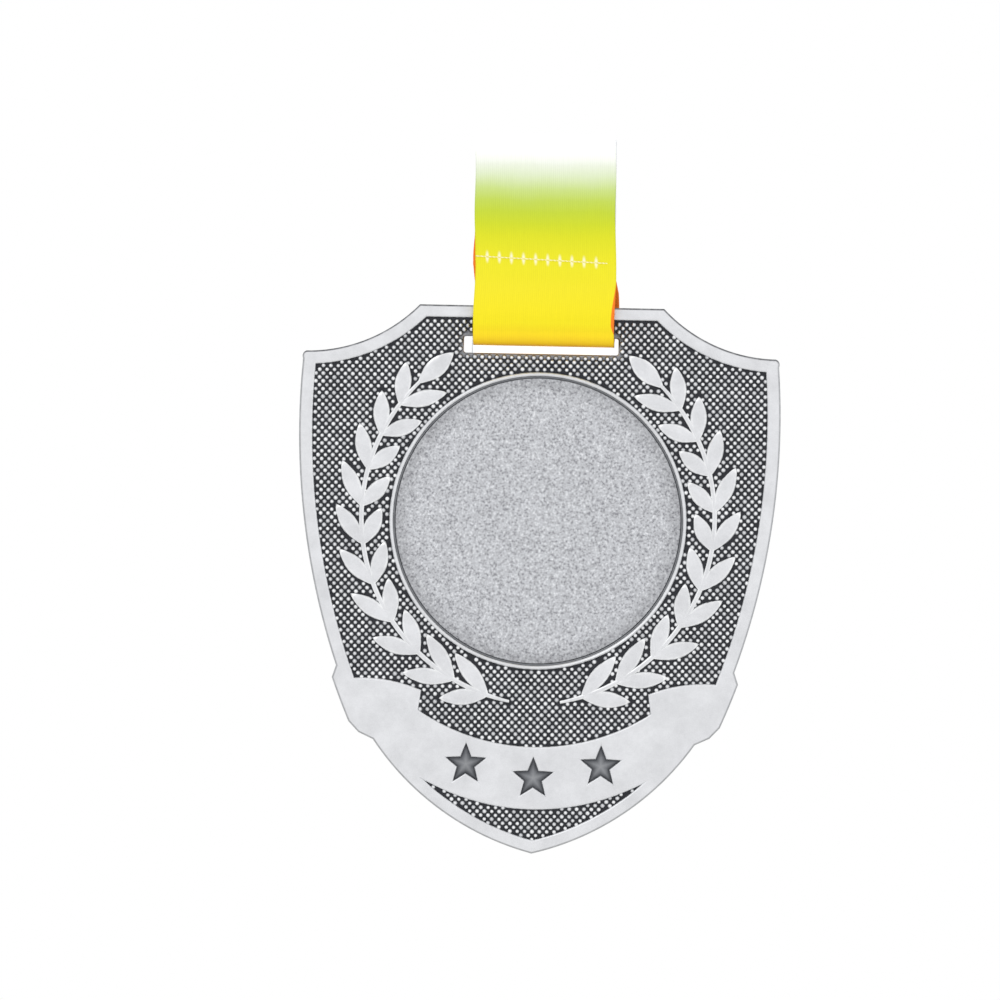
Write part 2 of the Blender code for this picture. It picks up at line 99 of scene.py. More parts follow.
# ---- shield outline and relief, in millimetres ----
SEAT_GAP = 0.25
FIELD_DEPTH = 0.6
FIELD_Y = FRONT_Y + FIELD_DEPTH
POCKET_Y = ADHESIVE_BACK_Y + SEAT_GAP
POCKET_RADIUS = INSERT_RADIUS + SEAT_GAP
BEAD_INNER = POCKET_RADIUS + 0.2
BEAD_WIDTH = 0.9
BEAD_OUTER = BEAD_INNER + BEAD_WIDTH
BEAD_DROP = 0.06
BEAD_STEP = 0.49  # depth of the bead's inner foot
RELIEF_DROP = 0.12
RIM_WIDTH = 2.4
TOP_RIM_WIDTH = 2.2
SHOULDER_RIM_WIDTH = 1.9
SLOT_HALF_WIDTH = RIBBON_WIDTH / 2 + 1.25
SLOT_CORNER = 0.35
SLOT_WEB = 3.25
BAR_HEIGHT = 5.4
SLOT_TOP = SHIELD_TOP - BAR_HEIGHT
SLOT_FOOT = BEAD_OUTER + SLOT_WEB
TOP_CORNER_X = SLOT_HALF_WIDTH + 7.95
SIDE_TOP = (42.3, SHIELD_TOP - 10.0)
SHOULDER = (SIDE_TOP[0] - 0.6, SHIELD_TOP - 8.6)
SHOULDER_ROUND = 1.0
SCOOP_RADIUS = 27.9
SIDE_RADIUS = 131.4
LOWER_RADIUS = 49.0
BANNER_END_RADIUS = 110.0

# foot of the shield: in from the top of the long side, and up from the tip
SIDE_FOOT_AT = (6.9, 32.8)
BANNER_END_TOP_AT = (6.2, 30.7)
BANNER_END_FOOT_AT = (9.3, 22.9)
BANNER_END_HEEL_AT = (11.1, 21.0)
LOWER_START_AT = (13.7, 19.8)
FLAG_TOP_RISE = 30.7
FLAG_FOLD_AT = (22.2, 28.7)
FLAG_RADIUS = 26.7
BANNER_TOP_END_AT = (21.7, 25.2)
BANNER_TOP_RISE = 19.0
BANNER_FOOT_END_AT = (23.1, 12.6)
BANNER_FOOT_RISE = 7.8
STAR_RADIUS = 3.7
STAR_LAP = 0.12  # a star's facets run this far under the edges of its opening
STAR_WAIST = 0.42
STAR_PITCH = 12.0
STAR_RISE = 15.7
STAR_SAG = 2.3
STAR_MIDDLE, STAR_TIP_DEPTH, STAR_WAIST_DEPTH = 0.45, 0.60, 0.585

# layers of the casting, which lap inside the metal, and the reach of the painted shade along its outer
# edge
RIM_LAP = 0.5
FLOOR_LAP = 0.3
FLOOR_INSET = 1.0
BACK_INSET = 0.02
EDGE_SHADE, EDGE_FADE = 0.4, 0.12
DOT_SEED = 11

# laurel branches: stem angle, splay of the outer and of the inner leaf, and their lengths
STEM_RADIUS = BEAD_OUTER + 4.75
STEM_FLARE = 1.15
STEM_MIDDLE = -17.0
STEM_REACH = 65.0
STEM_ENDS = (-82.0, 46.5)
TOP_LEAF = (48.0, 0.0, 8.3)
TOP_LEAF_SHARE = 1.15  # the top leaf is wider than the others
LEAF_PAIRS = (
    (39.0, 31.0, 36.0, 7.7, 8.7),
    (27.7, 27.5, 43.0, 7.9, 7.7),
    (15.8, 27.0, 37.0, 8.4, 7.1),
    (3.8, 28.0, 39.0, 8.9, 7.3),
    (-8.7, 26.5, 34.0, 8.7, 7.3),
    (-22.2, 23.0, 36.0, 8.8, 8.0),
    (-35.9, 21.5, 29.0, 9.1, 7.9),
    (-49.2, 23.5, 29.5, 8.8, 8.3),
    (-63.3, 20.0, 31.0, 9.4, 9.6),
    (-75.1, 19.5, 36.0, 8.8, 9.6),
)

# ---- ribbon run, in millimetres ----
PLY_INNER = -(INNER_LOW.y + INNER_HIGH.y) / 2
PLY_OUTER = PLY_INNER + RIBBON_THICKNESS + 0.3
PLY_STEP = PLY_OUTER - PLY_INNER
SEAM_TAIL = 2.0
END_TAIL = 2.4  # the inner end hangs this far below its plain model
END_BULGE = 8.5  # length over which the inner end shows beside the front strand
LOOP_Z = DISC_Z + SLOT_TOP + 0.9
LOOP_RADIUS = LOOP_Z - LOOP_LOW.z - RIBBON_THICKNESS / 2
LOOP_BULGE = (BACK_Y - FRONT_Y) / 2 + 2.1
LOOP_SHAPE = ((0.82, 0.58), (1.0, 0.30), (0.85, 0.12))  # shares of the loop's bulge and height
LOOP_STEPS = 16
HANK_RUNS = 6
HANK_PITCH = (HANK_HIGH.y - HANK_LOW.y) / (2 * HANK_RUNS)
HANK_TURN = 1.6  # a turn's height by its radius
TOP_STAGGER, FOOT_STAGGER = 1.1, 0.9  # the turns don't all reach equally far
END_ROWS = 30  # the path's last rows, from the front of the peg down
FLAT_ROWS = 20  # those of them below the peg
CLOTH_THICKNESS = 0.42  # a little under its plain model, so that the plies stay apart
WAVE_HEIGHT = 0.05
PUCKER_REACH = 1.3
SEAM_SHIFT = -0.75  # middle of the needle holes, from the ribbon's middle
STITCHES = 11
SEAM_SLOPE = -0.038  # the seam drops a little towards the right
STITCH_RISE, STITCH_SINK = 0.2, 0.28
LOBE_WIDTH = 0.68  # the orange border where it bulges past the top bar

# ---- insert and stage ----
INSERT_LAP = 0.15
INSERT_RINGS, INSERT_STEPS = 110, 256
BLAST_DEPTH, BLAST_PITCH = 0.012, 0.45
FLOOR_RADIUS = 0.32
SENSOR_WIDTH = 36.0
AIM_X, AIM_RISE = -6.82, 3.6  # middle of the view, from the insert's centre


def linear(code):
    """An sRGB hex colour as linear RGBA."""
    channels = [int(code[i : i + 2], 16) / 255 for i in (1, 3, 5)]
    return (*[c / 12.92 if c <= 0.04045 else ((c + 0.055) / 1.055) ** 2.4 for c in channels], 1.0)


# ---- settings a user would change ----


class ShieldSettings(PropertyGroup):
    """Edges, dots, laurels and colours of the casting"""

    edge_round: FloatProperty(
        name="Edge round", description="Radius of the rim's edges", default=0.0004, unit="LENGTH"
    )
    wall_round: FloatProperty(
        name="Wall round", description="Radius of the relief's edges", default=0.00016, unit="LENGTH"
    )
    dot_pitch: FloatProperty(
        name="Dot pitch", description="Between dots of one row", default=0.00131, unit="LENGTH"
    )
    dot_row: FloatProperty(
        name="Dot row", description="Between rows of dots", default=0.00069, unit="LENGTH"
    )
    dot_radius: FloatProperty(
        name="Dot radius", description="Foot of one dot", default=0.00052, unit="LENGTH"
    )
    dot_height: FloatProperty(
        name="Dot height", description="Dot above the field", default=0.00036, unit="LENGTH"
    )
    leaf_width: FloatProperty(
        name="Leaf width", description="Across one leaf", default=0.003, unit="LENGTH"
    )
    stem_width: FloatProperty(
        name="Stem width", description="Across the stem", default=0.001, unit="LENGTH"
    )
    silver: FloatVectorProperty(
        name="Silver", description="High parts", subtype="COLOR", size=4, default=linear("#E3E4E7")
    )
    patina: FloatVectorProperty(
        name="Patina", description="Low parts", subtype="COLOR", size=4, default=linear("#3A3B3F")
    )


class InsertSettings(PropertyGroup):
    """Grain, edge and colour of the round insert"""

    grit: FloatProperty(
        name="Grit", description="Size of one blasted grain", default=0.0004, unit="LENGTH"
    )
    edge_round: FloatProperty(
        name="Edge round", description="Radius of the disc's edge", default=0.0002, unit="LENGTH"
    )
    frosted: FloatVectorProperty(
        name="Frosted", description="Disc", subtype="COLOR", size=4, default=linear("#C6C7CB")
    )


class RibbonSettings(PropertyGroup):
    """Weave and seam of the neck ribbon"""

    columns: IntProperty(name="Columns", description="Faces across the ribbon", default=72)
    thread_pitch: FloatProperty(
        name="Thread pitch", description="Between warp threads", default=0.00035, unit="LENGTH"
    )
    stitch_pitch: FloatProperty(
        name="Stitch pitch", description="Between needle holes", default=0.00215, unit="LENGTH"
    )
    pucker: FloatProperty(
        name="Pucker", description="Depth of a needle hole's dimple", default=0.00016, unit="LENGTH"
    )
    thread_radius: FloatProperty(
        name="Thread radius", description="Of the sewing thread", default=0.00013, unit="LENGTH"
    )
    thread: FloatVectorProperty(
        name="Thread", description="Cotton", subtype="COLOR", size=4, default=linear("#F8F0A2")
    )


class StageSettings(PropertyGroup):
    """Camera, floor and light"""

    frame_width: FloatProperty(
        name="Frame width", description="Seen at the medal's face", default=0.1775, unit="LENGTH"
    )
    lens: FloatProperty(name="Lens", description="Focal length", default=100.0, subtype="DISTANCE_CAMERA")
    roll: FloatProperty(
        name="Roll", description="Camera roll", default=math.radians(1.12), subtype="ANGLE"
    )
    floor_drop: FloatProperty(
        name="Floor drop", description="Floor below the peg", default=0.3, unit="LENGTH"
    )
    sky: FloatProperty(name="Sky", description="Strength of the white surround", default=1.0)
    key: FloatProperty(name="Key", description="Strength of the key light", default=0.3, unit="POWER")


# ---- outlines ----


def arc_centre(start, end, radius):
    """Centre of the arc from start to end, to the left of it where the radius is positive."""
    start, end = Vector(start), Vector(end)
    chord = end - start
    normal = Vector((-chord.y, chord.x)).normalized()
    rise = math.sqrt(max(radius * radius - chord.length_squared / 4, 0.0))
    return (start + end) / 2 + normal * math.copysign(rise, radius)


def arc(start, end, radius, steps=12):
    """Points from start to end on an arc. A positive radius has its centre to the left."""
    centre = arc_centre(start, end, radius)
    first = (Vector(start) - centre).normalized()
    turn = first.angle_signed((Vector(end) - centre).normalized())
    points = []
    for i in range(steps + 1):
        spun = Matrix.Rotation(-turn * i / steps, 2) @ first
        points.append(tuple(centre + spun * abs(radius)))
    return points


def through(left, bottom, right, steps=32):
    """Points of the arc from left to right that sags to the height bottom at its middle."""
    half, sag = (right[0] - left[0]) / 2, left[1] - bottom
    return arc(left, right, (half * half + sag * sag) / (2 * sag), steps)


def foot_point(at):
    """A point of the shield's foot, from its inset from the side and its rise from the tip."""
    return (SIDE_TOP[0] - at[0], SHIELD_TIP + at[1])


def mirrored(half):
    """A closed outline from its right half, which runs from the top down to the bottom."""
    return half + [(-x, z) for x, z in reversed(half) if x > 1e-6]


def shield_outline():
    """The casting's outer edge."""
    half = [(0.0, SHIELD_TOP)]
    half += arc((TOP_CORNER_X, SHIELD_TOP), SHOULDER, SCOOP_RADIUS, 24)
    half += arc(SHOULDER, SIDE_TOP, -SHOULDER_ROUND, 5)[1:-1]
    half += arc(SIDE_TOP, foot_point(SIDE_FOOT_AT), -SIDE_RADIUS, 24)
    end_top, end_foot = foot_point(BANNER_END_TOP_AT), foot_point(BANNER_END_FOOT_AT)
    half += arc(end_top, end_foot, -BANNER_END_RADIUS, 6)
    half += [foot_point(BANNER_END_HEEL_AT)]
    half += arc(foot_point(LOWER_START_AT), (0.0, SHIELD_TIP), -LOWER_RADIUS, 24)
    return mirrored(half)


def side_x(z, inset):
    """How far out the shield's side is at height z, less an inset."""
    centre = arc_centre(SIDE_TOP, foot_point(SIDE_FOOT_AT), -SIDE_RADIUS)
    return centre.x + math.sqrt((SIDE_RADIUS - inset) ** 2 - (z - centre.y) ** 2)


def upper_field():
    """The textured ground above the banner."""
    centre = arc_centre((TOP_CORNER_X, SHIELD_TOP), SHOULDER, SCOOP_RADIUS)
    radius = SCOOP_RADIUS + RIM_WIDTH
    top = SHIELD_TOP - TOP_RIM_WIDTH
    corner_x = centre.x - math.sqrt(radius**2 - (centre.y - top) ** 2)
    shoulder_x = SHOULDER[0] - SHOULDER_RIM_WIDTH
    shoulder = (shoulder_x, centre.y - math.sqrt(radius**2 - (centre.x - shoulder_x) ** 2))
    side_top = (side_x(shoulder[1], RIM_WIDTH), shoulder[1])
    flag_z = SHIELD_TIP + FLAG_TOP_RISE
    flag = (side_x(flag_z, RIM_WIDTH), flag_z)
    half = [(0.0, top)]
    half += arc((corner_x, top), shoulder, radius, 20)
    half += arc(side_top, flag, -(SIDE_RADIUS - RIM_WIDTH), 20)
    half += arc(flag, foot_point(FLAG_FOLD_AT), FLAG_RADIUS, 8)[1:]
    end_x, end_z = foot_point(BANNER_TOP_END_AT)
    sag = through((-end_x, end_z), SHIELD_TIP + BANNER_TOP_RISE, (end_x, end_z))
    half += [p for p in reversed(sag) if p[0] > -1e-6]
    return mirrored(half)


def lower_field():
    """The textured crescent under the banner."""
    right = foot_point(BANNER_FOOT_END_AT)
    left = (-right[0], right[1])
    rim = LOWER_RADIUS - RIM_WIDTH
    tip = (0.0, SHIELD_TIP + RIM_WIDTH)
    return (
        through(left, SHIELD_TIP + BANNER_FOOT_RISE, right)[:-1]
        + arc(right, tip, -rim, 16)
        + arc(tip, left, -rim, 16)[1:-1]
    )


def slot_outline():
    """The ribbon's slot under the top bar, with rounded corners."""
    half, radius = SLOT_HALF_WIDTH, SLOT_CORNER
    corners = (
        (half - radius, SLOT_TOP - radius, 0),
        (-half + radius, SLOT_TOP - radius, 90),
        (-half + radius, SLOT_FOOT + radius, 180),
        (half - radius, SLOT_FOOT + radius, 270),
    )
    points = []
    for x, z, start in corners:
        for i in range(4):
            a = math.radians(start + 30 * i)
            points.append((x + radius * math.cos(a), z + radius * math.sin(a)))
    return points


def circle(radius, steps=160):
    """Points of a circle about the insert's centre."""
    turns = [2 * math.pi * i / steps for i in range(steps)]
    return [(radius * math.cos(a), radius * math.sin(a)) for a in turns]


def star_places():
    """Middles of the banner's three stars."""
    outer = SHIELD_TIP + STAR_RISE
    return ((-STAR_PITCH, outer), (0.0, outer - STAR_SAG), (STAR_PITCH, outer))


def star_outline(place, grow=0.0):
    """A five-pointed star, clockwise from its top point."""
    points = []
    for i in range(10):
        radius = (STAR_RADIUS + grow) * (STAR_WAIST if i % 2 else 1.0)
        angle = math.radians(90 - 36 * i)
        points.append((place[0] + radius * math.cos(angle), place[1] + radius * math.sin(angle)))
    return points


def stem_point(angle):
    """A point of the left branch's stem. The angle is 0 at the left and grows upwards."""
    radius = STEM_RADIUS + STEM_FLARE * ((angle - STEM_MIDDLE) / STEM_REACH) ** 2
    a = math.radians(angle)
    return Vector((-radius * math.cos(a), radius * math.sin(a)))


def leaf_list():
    """Every leaf of the left branch as its stem angle, its splay and its length."""
    leaves = [TOP_LEAF]
    for angle, outer, inner, outer_length, inner_length in LEAF_PAIRS:
        leaves.append((angle, outer, outer_length))
        leaves.append((angle, -inner, inner_length))
    return leaves


def leaf_share(s):
    """Half the leaf's width at the share s of its length, as a share of its widest."""
    return max(math.sin(math.pi * s**1.03), 0.0) ** 0.8 + 0.06 * (1 - s) ** 6


def leaf_span(leaf, width):
    """Width of one leaf at its widest."""
    return width * (TOP_LEAF_SHARE if leaf == TOP_LEAF else 1.0)


def leaf_axes(angle, splay):
    """Where a leaf leaves the stem, and its directions along and across."""
    heading = math.radians(90 - angle + splay)
    along = Vector((math.cos(heading), math.sin(heading)))
    return stem_point(angle), along, Vector((-along.y, along.x))


def leaf_edge(leaf, width):
    """Outline of one leaf of the left branch."""
    base, along, across = leaf_axes(leaf[0], leaf[1])
    width = leaf_span(leaf, width)
    shares = [i / 10 for i in range(11)]
    left = [base + along * (s * leaf[2]) + across * (leaf_share(s) * width / 2) for s in shares]
    right = [base + along * (s * leaf[2]) - across * (leaf_share(s) * width / 2) for s in shares]
    return [tuple(p) for p in left + right[::-1]]


# ---- mesh work ----


def finished(name, mesh, smooth_angle=35.0):
    """Links a mesh as an object with smooth shading between its sharp edges."""
    mesh.shade_smooth()
    mesh.set_sharp_from_angle(angle=math.radians(smooth_angle))
    obj = bpy.data.objects.new(name, mesh)
    bpy.context.scene.collection.objects.link(obj)
    return obj


def mesh_from(name, points, faces):
    """A mesh from points in millimetres."""
    mesh = bpy.data.meshes.new(name)
    mesh.from_pydata((np.asarray(points, float) * MM).tolist(), [], faces)
    mesh.validate()
    return mesh


def pressed_plate(name, outlines, front, back, edge, inset=0.0):
    """A plate between two depths: its first outline is its edge, the others its openings."""
    curve = bpy.data.curves.new(name, "CURVE")
    curve.dimensions = "2D"
    curve.fill_mode = "BOTH"
    curve.extrude = (back - front) / 2 - edge
    curve.bevel_depth = edge
    curve.bevel_resolution = 3
    curve.offset = -edge - inset
    for outline in outlines:
        spline = curve.splines.new("POLY")
        spline.points.add(len(outline) - 1)
        for point, (x, z) in zip(spline.points, outline):
            point.co = (x, z, 0.0, 1.0)
        spline.use_cyclic_u = True
    drawn = bpy.data.objects.new(name, curve)
    bpy.context.scene.collection.objects.link(drawn)
    bpy.context.view_layer.update()
    depsgraph = bpy.context.evaluated_depsgraph_get()
    mesh = bpy.data.meshes.new_from_object(drawn.evaluated_get(depsgraph))
    bpy.data.objects.remove(drawn)
    stand = Matrix.Rotation(math.pi / 2, 4, "X")
    middle = Matrix.Translation((0, (front + back) / 2 * MM, DISC_Z * MM))
    mesh.transform(middle @ Matrix.Scale(MM, 4) @ stand)
    return mesh


def grid_faces(rows, columns, closed=False):
    """Quads of a grid of points listed row by row. A closed grid joins its last column."""
    faces = []
    for r in range(0, (rows - 1) * columns, columns):
        for c in range(columns if closed else columns - 1):
            d = (c + 1) % columns
            faces.append((r + c, r + d, r + columns + d, r + columns + c))
    return faces


def turned(name, profile, steps=192):
    """A ring turned about the insert's axis, from a profile of radius and depth."""
    points = []
    for radius, y in profile:
        for x, z in circle(radius, steps):
            points.append((x, y, DISC_Z + z))
    return mesh_from(name, points, grid_faces(len(profile), steps, closed=True))


def bead_profile():
    """Radius and depth of the half-round bead, from the pocket's wall to the field."""
    middle, half = (BEAD_INNER + BEAD_OUTER) / 2, BEAD_WIDTH / 2
    top = FRONT_Y + BEAD_DROP
    step = FRONT_Y + BEAD_STEP
    points = [(POCKET_RADIUS, POCKET_Y), (POCKET_RADIUS, step + 0.05), (BEAD_INNER, step)]
    for a in half_turn(10)[1:]:
        foot = step if a < math.pi / 2 else FIELD_Y
        points.append((middle - half * math.cos(a), foot - (foot - top) * math.sin(a) ** 2.3))
    return points + [(BEAD_OUTER, FIELD_Y + 0.2)]


def leaf_mesh(leaf, width, side):
    """One domed leaf with a low keel, on the left or the right branch."""
    base, along, across = leaf_axes(leaf[0], leaf[1])
    width = leaf_span(leaf, width)
    height = FIELD_DEPTH - RELIEF_DROP
    profile = ((-1.0, -0.1), (-0.985, 0.5), (-0.87, 0.82), (-0.45, 0.95), (-0.1, 0.99), (0.0, 1.03))
    profile += tuple((-v, h) for v, h in reversed(profile[:-1]))
    points = []
    stations = 14
    for i in range(stations):
        s = 0.5 - 0.5 * math.cos(math.pi * i / (stations - 1))
        half = leaf_share(s) * width / 2
        ends = min(1.0, 6 * s + 0.55, 5 * (1 - s) + 0.45)
        for v, h in profile:
            p = base + along * (s * leaf[2]) + across * (v * half)
            rise = height * (h * ends if h > 0 else h)
            points.append((-side * p.x, FIELD_Y - rise, DISC_Z + p.y))
    faces = grid_faces(stations, len(profile))
    if side > 0:
        faces = [face[::-1] for face in faces]
    return mesh_from("leaf", points, faces)


def stem_mesh(width, side):
    """The half-round stem of one branch, thinner at both ends."""
    lower, upper = STEM_ENDS[0], TOP_LEAF[0] + 0.8
    height = FIELD_DEPTH - RELIEF_DROP - 0.03
    profile = [(-math.cos(math.pi * i / 8), math.sin(math.pi * i / 8) ** 0.7) for i in range(9)]
    points = []
    steps = 60
    for i in range(steps + 1):
        p = stem_point(lower + (upper - lower) * i / steps)
        out = p.normalized()
        full = min(1.0, 0.6 + 6 * i / steps, 0.75 + 2.2 * (1 - i / steps))
        for v, h in profile:
            q = p + out * (v * full * width / 2)
            points.append((-side * q.x, FIELD_Y - height * h * min(1.0, full + 0.3), DISC_Z + q.y))
    faces = grid_faces(steps + 1, len(profile))
    faces.append(tuple(range(len(profile))))
    faces.append(tuple(reversed(range(len(points) - len(profile), len(points)))))
    if side < 0:
        faces = [face[::-1] for face in faces]
    return mesh_from("stem", points, faces)


def star_mesh(place):
    """A sunken faceted star with its middle raised."""
    outline = star_outline(place, grow=STAR_LAP)
    points = [(place[0], FRONT_Y + STAR_MIDDLE, DISC_Z + place[1])]
    for i, (x, z) in enumerate(outline):
        points.append((x, FRONT_Y + (STAR_WAIST_DEPTH if i % 2 else STAR_TIP_DEPTH), DISC_Z + z))
    faces = [(0, 1 + (i + 1) % 10, 1 + i) for i in range(10)]
    return mesh_from("star", points, faces)


def inside(outline, x, z):
    """Which of the points x, z are inside a closed outline."""
    found = np.zeros(len(x), bool)
    for (x0, z0), (x1, z1) in zip(outline, outline[1:] + outline[:1]):
        if z0 != z1:
            crosses = ((z0 > z) != (z1 > z)) & (x < (x1 - x0) * (z - z0) / (z1 - z0) + x0)
            found ^= crosses
    return found


def distance(outline, x, z):
    """Distance from the points x, z to a closed outline."""
    nearest = np.full(len(x), np.inf)
    for (x0, z0), (x1, z1) in zip(outline, outline[1:] + outline[:1]):
        dx, dz = x1 - x0, z1 - z0
        length = dx * dx + dz * dz
        if length > 0:
            t = np.clip(((x - x0) * dx + (z - z0) * dz) / length, 0, 1)
            nearest = np.minimum(nearest, np.hypot(x - x0 - t * dx, z - z0 - t * dz))
    return nearest


def dot_places(settings):
    """Lattice points of the field that the relief, the bead and the slot leave free."""
    pitch, row = settings.dot_pitch / MM, settings.dot_row / MM
    radius = settings.dot_radius / MM
    rows = np.arange(math.floor(SHIELD_TIP / row), math.ceil(SHIELD_TOP / row))
    reach = math.ceil(SHIELD_HIGH.x / pitch)
    columns = np.arange(-reach, reach)
    r, c = np.meshgrid(rows, columns, indexing="ij")
    x = ((c + 0.5 * (r % 2)) * pitch).ravel()
    z = (r * row).ravel()
    keep = np.zeros(len(x), bool)
    for field in (upper_field(), lower_field()):
        keep |= inside(field, x, z) & (distance(field, x, z) > 0.1 * radius)
    keep &= np.hypot(x, z) > BEAD_OUTER + 0.1 * radius
    keep &= ~(inside(slot_outline(), x, z) | (distance(slot_outline(), x, z) < radius))
    x, z = x[keep], z[keep]
    keep = np.ones(len(x), bool)
    width = settings.leaf_width / MM
    for leaf in leaf_list():
        for side in (-1, 1):
            edge = [(-side * px, pz) for px, pz in leaf_edge(leaf, width)]
            keep &= ~(inside(edge, x, z) | (distance(edge, x, z) < 0.2 * radius))
    clear = settings.stem_width / MM / 2 + 0.1 * radius
    for angle in np.linspace(*STEM_ENDS, 61):
        p = stem_point(angle)
        keep &= np.hypot(np.abs(x) - abs(p.x), z - p.y) > clear
    return x[keep], z[keep]


def dots_mesh(settings):
    """The field's raised dots, all in one mesh."""
    radius, height = settings.dot_radius / MM, settings.dot_height / MM
    x, z = dot_places(settings)
    rings = ((1.0, -0.1), (0.82, 0.34), (0.54, 0.76), (0.26, 0.96))
    sides = 8
    angles = np.arange(sides) * 2 * math.pi / sides
    one = []
    for share, rise in rings:
        for a in angles:
            one.append((radius * share * math.cos(a), -height * rise, radius * share * math.sin(a)))
    one.append((0.0, -height, 0.0))
    one = np.array(one)
    # no two dots are quite alike
    rng = np.random.default_rng(DOT_SEED)
    spans = rng.uniform(0.9, 1.06, len(x))
    heights = rng.uniform(0.78, 1.08, len(x))
    places = np.stack([x, np.full(len(x), FIELD_Y), DISC_Z + z], axis=1)
    points = places[:, None, :] + one[None] * np.stack([spans, heights, spans], axis=1)[:, None, :]
    last = sides * (len(rings) - 1)
    faces = grid_faces(len(rings), sides, closed=True)
    faces += [(last + i, last + (i + 1) % sides, len(one) - 1) for i in range(sides)]
    every = []
    for k in range(len(x)):
        every += [tuple(k * len(one) + v for v in face) for face in faces]
    return mesh_from("dots", points.reshape(-1, 3), every)


def joined(name, meshes):
    """One mesh from several, with its normals facing out."""
    bm = bmesh.new()
    for mesh in meshes:
        bm.from_mesh(mesh)
    bmesh.ops.remove_doubles(bm, verts=bm.verts, dist=1e-7)
    bmesh.ops.recalc_face_normals(bm, faces=bm.faces)
    mesh = bpy.data.meshes.new(name)
    bm.to_mesh(mesh)
    bm.free()
    for part in meshes:
        bpy.data.meshes.remove(part)
    return mesh


def mark_outer_edge(mesh):
    """Stores how close each point is to the shield's outer edge, from 0 to 1, for the painted shade
    there.
    """
    places = np.zeros(len(mesh.vertices) * 3, np.float32)
    mesh.vertices.foreach_get("co", places)
    x, _, z = places.reshape(-1, 3).T / MM
    away = distance(shield_outline(), x, z - DISC_Z)
    near = np.clip((EDGE_SHADE - away) / EDGE_FADE, 0.0, 1.0).astype(np.float32)
    mesh.attributes.new("outer_edge", "FLOAT", "POINT").data.foreach_set("value", near)


def half_turn(steps):
    """Angles from nothing to half a turn."""
    return [math.pi * i / steps for i in range(steps + 1)]


def spread(points, steps):
    """A smooth curve through given points, as a Catmull-Rom spline."""
    ends = [points[0], *points, points[-1]]
    made = []
    for p0, p1, p2, p3 in zip(ends, ends[1:], ends[2:], ends[3:]):
        for i in range(steps):
            t = i / steps
            place = []
            for a, b, c, d in zip(p0, p1, p2, p3):
                bend = (2 * a - 5 * b + 4 * c - d) * t * t
                place.append(0.5 * (2 * b + (c - a) * t + bend + (3 * b - a - 3 * c + d) * t**3))
            made.append(tuple(place))
    return made + [points[-1]]


def loop_side(side):
    """One side of the hanging loop in Y and Z, from the seam down to the bar's foot."""
    height = SEAM_Z - LOOP_Z
    points = [
        (MEDAL_Y + side * PLY_STEP, SEAM_Z - 0.4),
        (MEDAL_Y + side * 1.5 * PLY_STEP, LOOP_Z + 0.84 * height),
    ]
    for out, up in LOOP_SHAPE:
        points.append((MEDAL_Y + side * out * LOOP_BULGE, LOOP_Z + up * height))
    return points + [(MEDAL_Y + side * LOOP_RADIUS, LOOP_Z)]


def straight(start, end, step):
    """Points from start up to but not including end."""
    start, end = Vector(start), Vector(end)
    count = max(2, round((end - start).length / step))
    return [tuple(start.lerp(end, i / count)) for i in range(count)]


def hank_turn(y, z, way):
    """The turn from one stowed run to the next, over the top (way 1) or under the foot (way -1)."""
    radius = HANK_PITCH / 2
    rise = way * HANK_TURN * radius
    return [(y - radius + radius * math.cos(a), z + rise * math.sin(a)) for a in half_turn(6)]


def hank_path():
    """The stowed runs in Y and Z, from the outermost down to the one next to the medal."""
    top, foot, step = HANK_HIGH.z - 3.0, HANK_LOW.z + 1.0, 2.5
    points = []
    for k in range(HANK_RUNS):
        y = HANK_HIGH.y - HANK_PITCH * (2 * k + 0.5)
        high = top - TOP_STAGGER * (3 * k % 4)
        low = foot + FOOT_STAGGER * (2 * k % 3)
        points += straight((y, high), (y, low), step)
        points += hank_turn(y, low, -1)
        y -= HANK_PITCH
        if k < HANK_RUNS - 1:
            high = top - TOP_STAGGER * (3 * (k + 1) % 4)
            points += straight((y, low), (y, high), step)
            points += hank_turn(y, high, 1)
        else:
            points += straight((y, low), (y, HANK_HIGH.z), step)
    return points


def ribbon_path():
    """The whole ribbon in Y and Z, with the place of each landmark along it."""
    marks = {}
    points = spread([(MEDAL_Y + PLY_STEP, SEAM_Z + SEAM_TAIL), *loop_side(1)], 7)
    for a in half_turn(LOOP_STEPS)[1:-1]:
        points.append((MEDAL_Y + LOOP_RADIUS * math.cos(a), LOOP_Z - LOOP_RADIUS * math.sin(a)))
    marks["curl"] = len(points) - LOOP_STEPS // 2
    points += spread([*reversed(loop_side(-1)), (-PLY_OUTER, SEAM_Z + SEAM_TAIL)], 7)
    points += straight(points.pop(), (-PLY_OUTER, 0.0), 0.8)
    marks["front"] = len(points)
    points += [(-PLY_OUTER * math.cos(a), PLY_OUTER * math.sin(a)) for a in half_turn(28)]
    marks["over"] = len(points) - 1
    outermost = HANK_HIGH.y - HANK_PITCH / 2
    entry = straight((PLY_OUTER, 0.0), (PLY_OUTER, HANK_HIGH.z + 10.0), 3.0)[1:]
    entry += [(PLY_OUTER + 0.9, HANK_HIGH.z + 6.0), (outermost - 0.5, HANK_HIGH.z + 0.5)]
    entry += [(outermost, HANK_HIGH.z - 3.0)]
    points += spread(entry, 6)[:-1]
    points += hank_path()
    marks["up"] = len(points)
    points += straight((PLY_INNER, HANK_HIGH.z + 0.5), (PLY_INNER, 0.0), 1.5)
    points += [(PLY_INNER * math.cos(a), PLY_INNER * math.sin(a)) for a in half_turn(24)]
    points += straight((-PLY_INNER, -0.5), (-PLY_INNER, INNER_LOW.z - END_TAIL), 1.0)
    points.append((-PLY_INNER, INNER_LOW.z - END_TAIL))
    return points, marks


